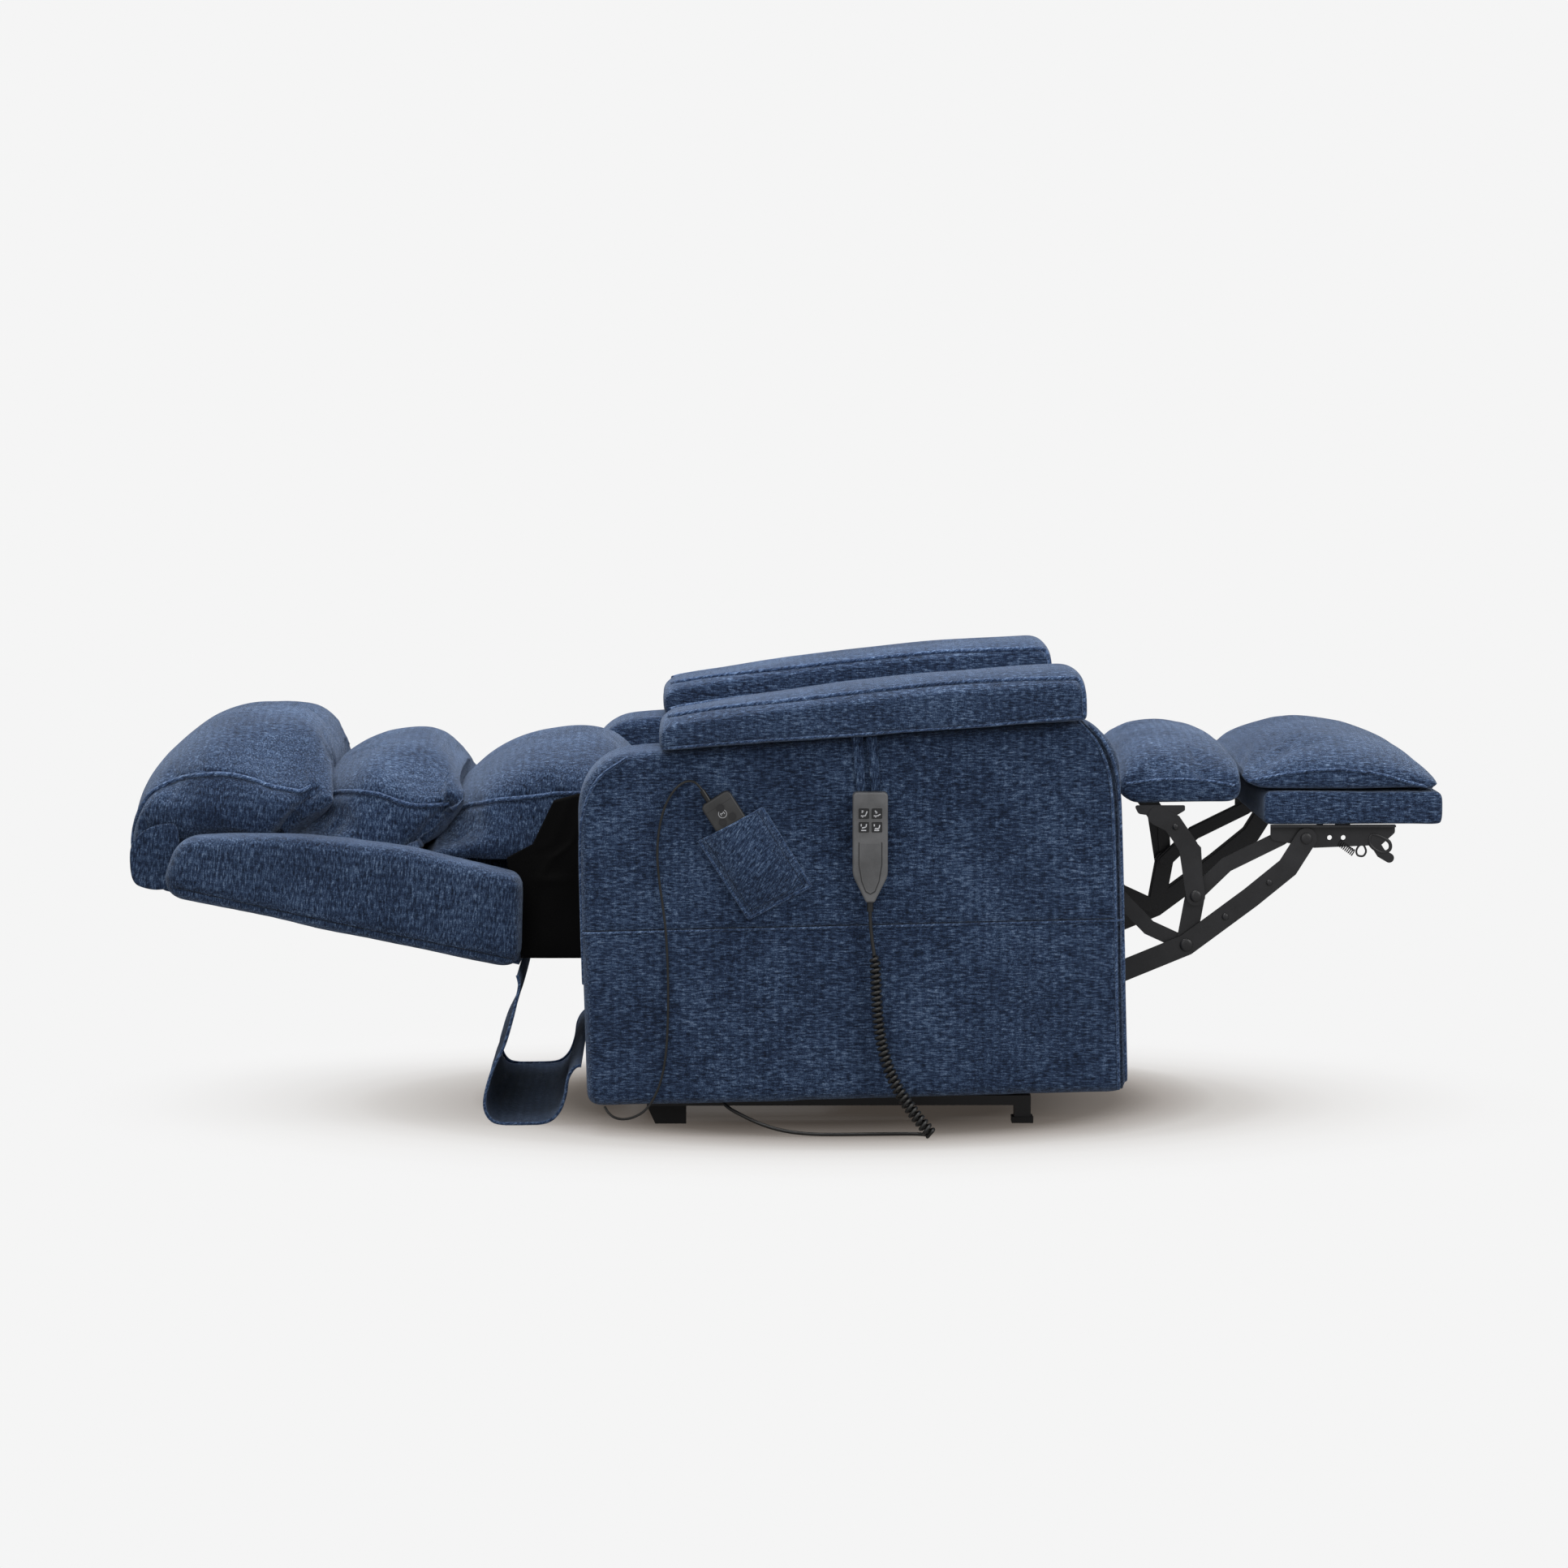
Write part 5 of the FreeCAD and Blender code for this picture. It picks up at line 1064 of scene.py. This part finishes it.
keyPictures = {
    # a small seat drawn with strokes, and an arrow
    "button_back_up": [((-3.6, -2.6), (1.6, -2.6)), ((1.6, -2.6), (3.8, 2.8)), ((-1.6, -2.6), (-1.6, -4.4)),
                       ((-2.6, 1.0), (-0.4, 3.4)), ((-2.8, 3.2), (-0.4, 3.4))],
    "button_back_down": [((-3.8, -2.6), (0.6, -2.6)), ((0.6, -2.6), (4.2, -0.6)), ((-1.6, -2.6), (-1.6, -4.4)),
                         ((-2.4, 3.4), (0.4, 1.0)), ((-1.8, 0.8), (0.4, 1.0))],
    "button_lift_up": [((-3.2, -3.6), (2.6, -3.6)), ((-2.4, -0.8), (2.4, 0.4)), ((2.4, 0.4), (3.0, 4.0)),
                       ((-3.2, 1.2), (-3.2, 4.0))],
    "button_lift_down": [((-3.2, -3.6), (2.6, -3.6)), ((-2.6, -1.4), (2.2, -1.4)), ((2.2, -1.4), (3.4, 2.8)),
                         ((-3.2, 3.8), (-3.2, 1.2))],
}

keyPrint = {"size": 1.2, "stroke": 1.5, "raise": 0.25}

handsetInlay = {
    # outline of the line around the inlay, first its outer and then its inner edge, and the inlay itself
    "line": [(-17, 52), (-17, 20), (-13, -4), (-7, -19), (0, -23), (7, -19), (13, -4), (17, 20), (17, 52),
             (15.4, 52), (15.4, 20), (11.6, -3.4), (6, -17.4), (0, -21), (-6, -17.4), (-11.6, -3.4), (-15.4, 20),
             (-15.4, 52)],
    "face": [(-13.6, 50), (-13.6, 19), (-10, -3), (-5, -15.6), (0, -18.6), (5, -15.6), (10, -3), (13.6, 19),
             (13.6, 50)],
    "level": 0.372,
}


def buildHandset():
    size = keyPrint["size"]
    for node, lines in keyPictures.items():
        lo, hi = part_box(node)
        centre = Vector(((lo.x + hi.x) / 2, lo.y, (lo.z + hi.z) / 2))
        bars = strokes([tuple((x * size, z * size) for x, z in line) for line in lines], keyPrint["stroke"])
        plateMesh(camel(node) + "Print", bars, keyPrint["raise"], centre, node, "printWhite", "button_rubber")
    lo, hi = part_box("handset_face_shell")
    centre = Vector(((lo.x + hi.x) / 2, lo.y, handsetInlay["level"]))
    rim = handsetInlay["line"]
    loops = [[rim[i], rim[i + 1], rim[-2 - i], rim[-1 - i]] for i in range(len(rim) // 2 - 1)]
    plateMesh("handsetInlayLine", loops, 0.3, centre, "chair", "handsetLine", "handset_plastic")
    plateMesh("handsetInlay", [handsetInlay["face"]], 0.2, centre, "chair", "handsetInlay", "handset_plastic")


control = {
    # the lean of the second control in degrees, the middle of its key, and the sign on it in mm
    "lean": 32.5, "key": (-94.3, 464.2), "ring": (6.2, 0.7), "stroke": 0.8, "groove": 22, "grooveUp": 12.5,
    "sign": [((-2.6, -1.8), (-2.6, 2.2)), ((-2.6, 2.2), (0, 0)), ((0, 0), (2.6, 2.2)), ((2.6, 2.2), (2.6, -1.8))],
}


def buildControlIcons():
    lean = math.radians(control["lean"])
    across = Vector((math.cos(lean), 0, math.sin(lean)))
    up = Vector((-math.sin(lean), 0, math.cos(lean)))
    x, z = control["key"]
    centre = mm(x, 0, z) + Vector((0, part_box("control_case")[0].y, 0))
    marks = ringLoops(*control["ring"]) + strokes(control["sign"], control["stroke"])
    plateMesh("controlRing", marks, 0.2, centre, "chair", "printWhite", "housing_plastic", across, up)
    groove = strokes([((-control["groove"], 0), (control["groove"], 0))], 0.6)
    plateMesh("controlGroove", groove, 0.1, centre + up * (control["grooveUp"] / 1000), "chair", "keyRubber",
              "housing_plastic", across, up)


linkFaces = {
    # body: X and Z of the pin line, half width, and the range of |Y| of the pressed face
    "outer_leg": [([(462, 205), (583.2, 254.5), (677, 324), (731, 368), (757.7, 410.5)], 15.5, (265.6, 267.2))],
    "inner_leg": [([(596.3, 326.6), (642, 371), (722.4, 410.5)], 11, (255.6, 257.2))],
    "front_leg": [([(583.2, 254.5), (596.3, 326.6)], 14.5, (260.6, 262.2))],
    "middle": [([(540, 444), (562, 433), (585, 399), (596.3, 326.6)], 14, (270.6, 272.2))],
}

rivets = {
    # body: pin centres, head radius, |Y| where the head starts
    "outer_leg": [((462, 205), 9.5, 267.2), ((583.2, 254.5), 9.5, 267.2), ((757.7, 410.5), 8.5, 267.2),
                  ((640, 296), 5, 267.2), ((704, 346), 4.5, 267.2)],
    "middle": [((596.3, 326.6), 8.5, 272.2), ((566, 428), 4.5, 272.2)],
}


def stripOutline(points, half, caps=8):
    # the outline of a strap with round ends along a bent line
    line = [Vector((x, 0, z)) for x, z in points]
    left, right = [], []
    for i, p in enumerate(line):
        a = (p - line[i - 1]).normalized() if i else (line[1] - p).normalized()
        b = (line[i + 1] - p).normalized() if i < len(line) - 1 else a
        ahead = (a + b).normalized()
        side = Vector((-ahead.z, 0, ahead.x)) * half / max(0.5, ahead.dot(a))
        left.append(p + side)
        right.append(p - side)

    def cap(centre, start):
        return [centre + Matrix.Rotation(math.pi * k / caps, 3, "Y") @ start for k in range(1, caps)]

    outline = left + cap(line[-1], left[-1] - line[-1]) + right[::-1] + cap(line[0], right[0] - line[0])
    return [(p.x, p.z) for p in outline]


def turned(name, profile, centre, axis, body, paint, slotName, around=24):
    # a profile of (radius, height) turned about an axis, in mm
    side = Vector((1, 0, 0))
    up = axis.cross(side)
    bm = bmesh.new()
    rows = [[centre + axis * (h / 1000) + (side * math.cos(2 * math.pi * k / around)
             + up * math.sin(2 * math.pi * k / around)) * (r / 1000) for k in range(around)] for r, h in profile]
    verts = gridMesh(bm, rows, wrap=True)
    bm.faces.new(verts[0][::-1])
    bm.faces.new(verts[-1])
    place(name, bm, body, paint, slotName)


footHardware = {
    # X and Z: the slotted eye and the small loop at the end of the bracket, and the tension spring
    "eye": [(854, 415), (868, 412), (880, 404), (881, 394), (872, 389), (860, 393), (851, 403)],
    "loop": [(842, 400), (846, 391), (842, 384), (834, 385), (832, 392), (836, 399)],
    "spring": ((806, 404), (828, 388)), "coilRadius": 4.6, "wire": 0.9, "coils": 9,
    "stepsPerCoil": 14, "reach": 259,
}


def buildFootHardware():
    kit = footHardware
    for name, radius in (("eye", 0.0026), ("loop", 0.0015)):
        line = smoothLine(drawn(kit[name], -kit["reach"]), 48, closed=True)
        mirroredTube("foot" + name.title(), line + line[:1], radius, "foot", "blackSteel")
    a, b = drawn(kit["spring"], -kit["reach"])
    side = Vector((0, 1, 0))
    up = (b - a).normalized().cross(side)
    steps = kit["coils"] * kit["stepsPerCoil"]
    line = []
    for k in range(steps + 1):
        angle = 2 * math.pi * k / kit["stepsPerCoil"]
        line.append(a.lerp(b, k / steps)
                    + (side * math.cos(angle) + up * math.sin(angle)) * (kit["coilRadius"] / 1000))
    mirroredTube("footTensionSpring", line, kit["wire"] / 1000, "foot", "blackSteel")


rivetHead = [(1, 0), (1, 1.2), (0.92, 2.1), (0.6, 2.9), (0.2, 3.1)]  # share of the radius, height in mm


def buildLinkage():
    for body, plates in linkFaces.items():
        for points, half, (near, far) in plates:
            for sign, side in sides:
                plateMesh(f"{camel(body)}Face{side}", [stripOutline(points, half)], far - near,
                          mm(0, sign * near, 0), body, "blackSteel", "black_steel", out=Vector((0, sign, 0)))
    for body, heads in rivets.items():
        for index, ((x, z), radius, start) in enumerate(heads):
            profile = [(radius * share, height) for share, height in rivetHead]
            for sign, side in sides:
                turned(f"{camel(body)}Rivet{index}{side}", profile, mm(x, sign * start, z), Vector((0, sign, 0)),
                       body, "blackSteel", "black_steel")


buildMaterials()
buildStudio()
print("materials and studio ready")
buildCords()
print("cords ready")
buildBackCushions()
buildPlainPads()
buildArmSides()
buildArmrests()
buildWings()
buildCoverEnds()
print("padded pieces ready")
buildBackSkirt()
buildDustCloth()
buildPocket()
buildStrap()
buildWebbing()
print("cloth ready")
buildHandset()
buildControlIcons()
buildLinkage()
buildFootHardware()
print("details ready")
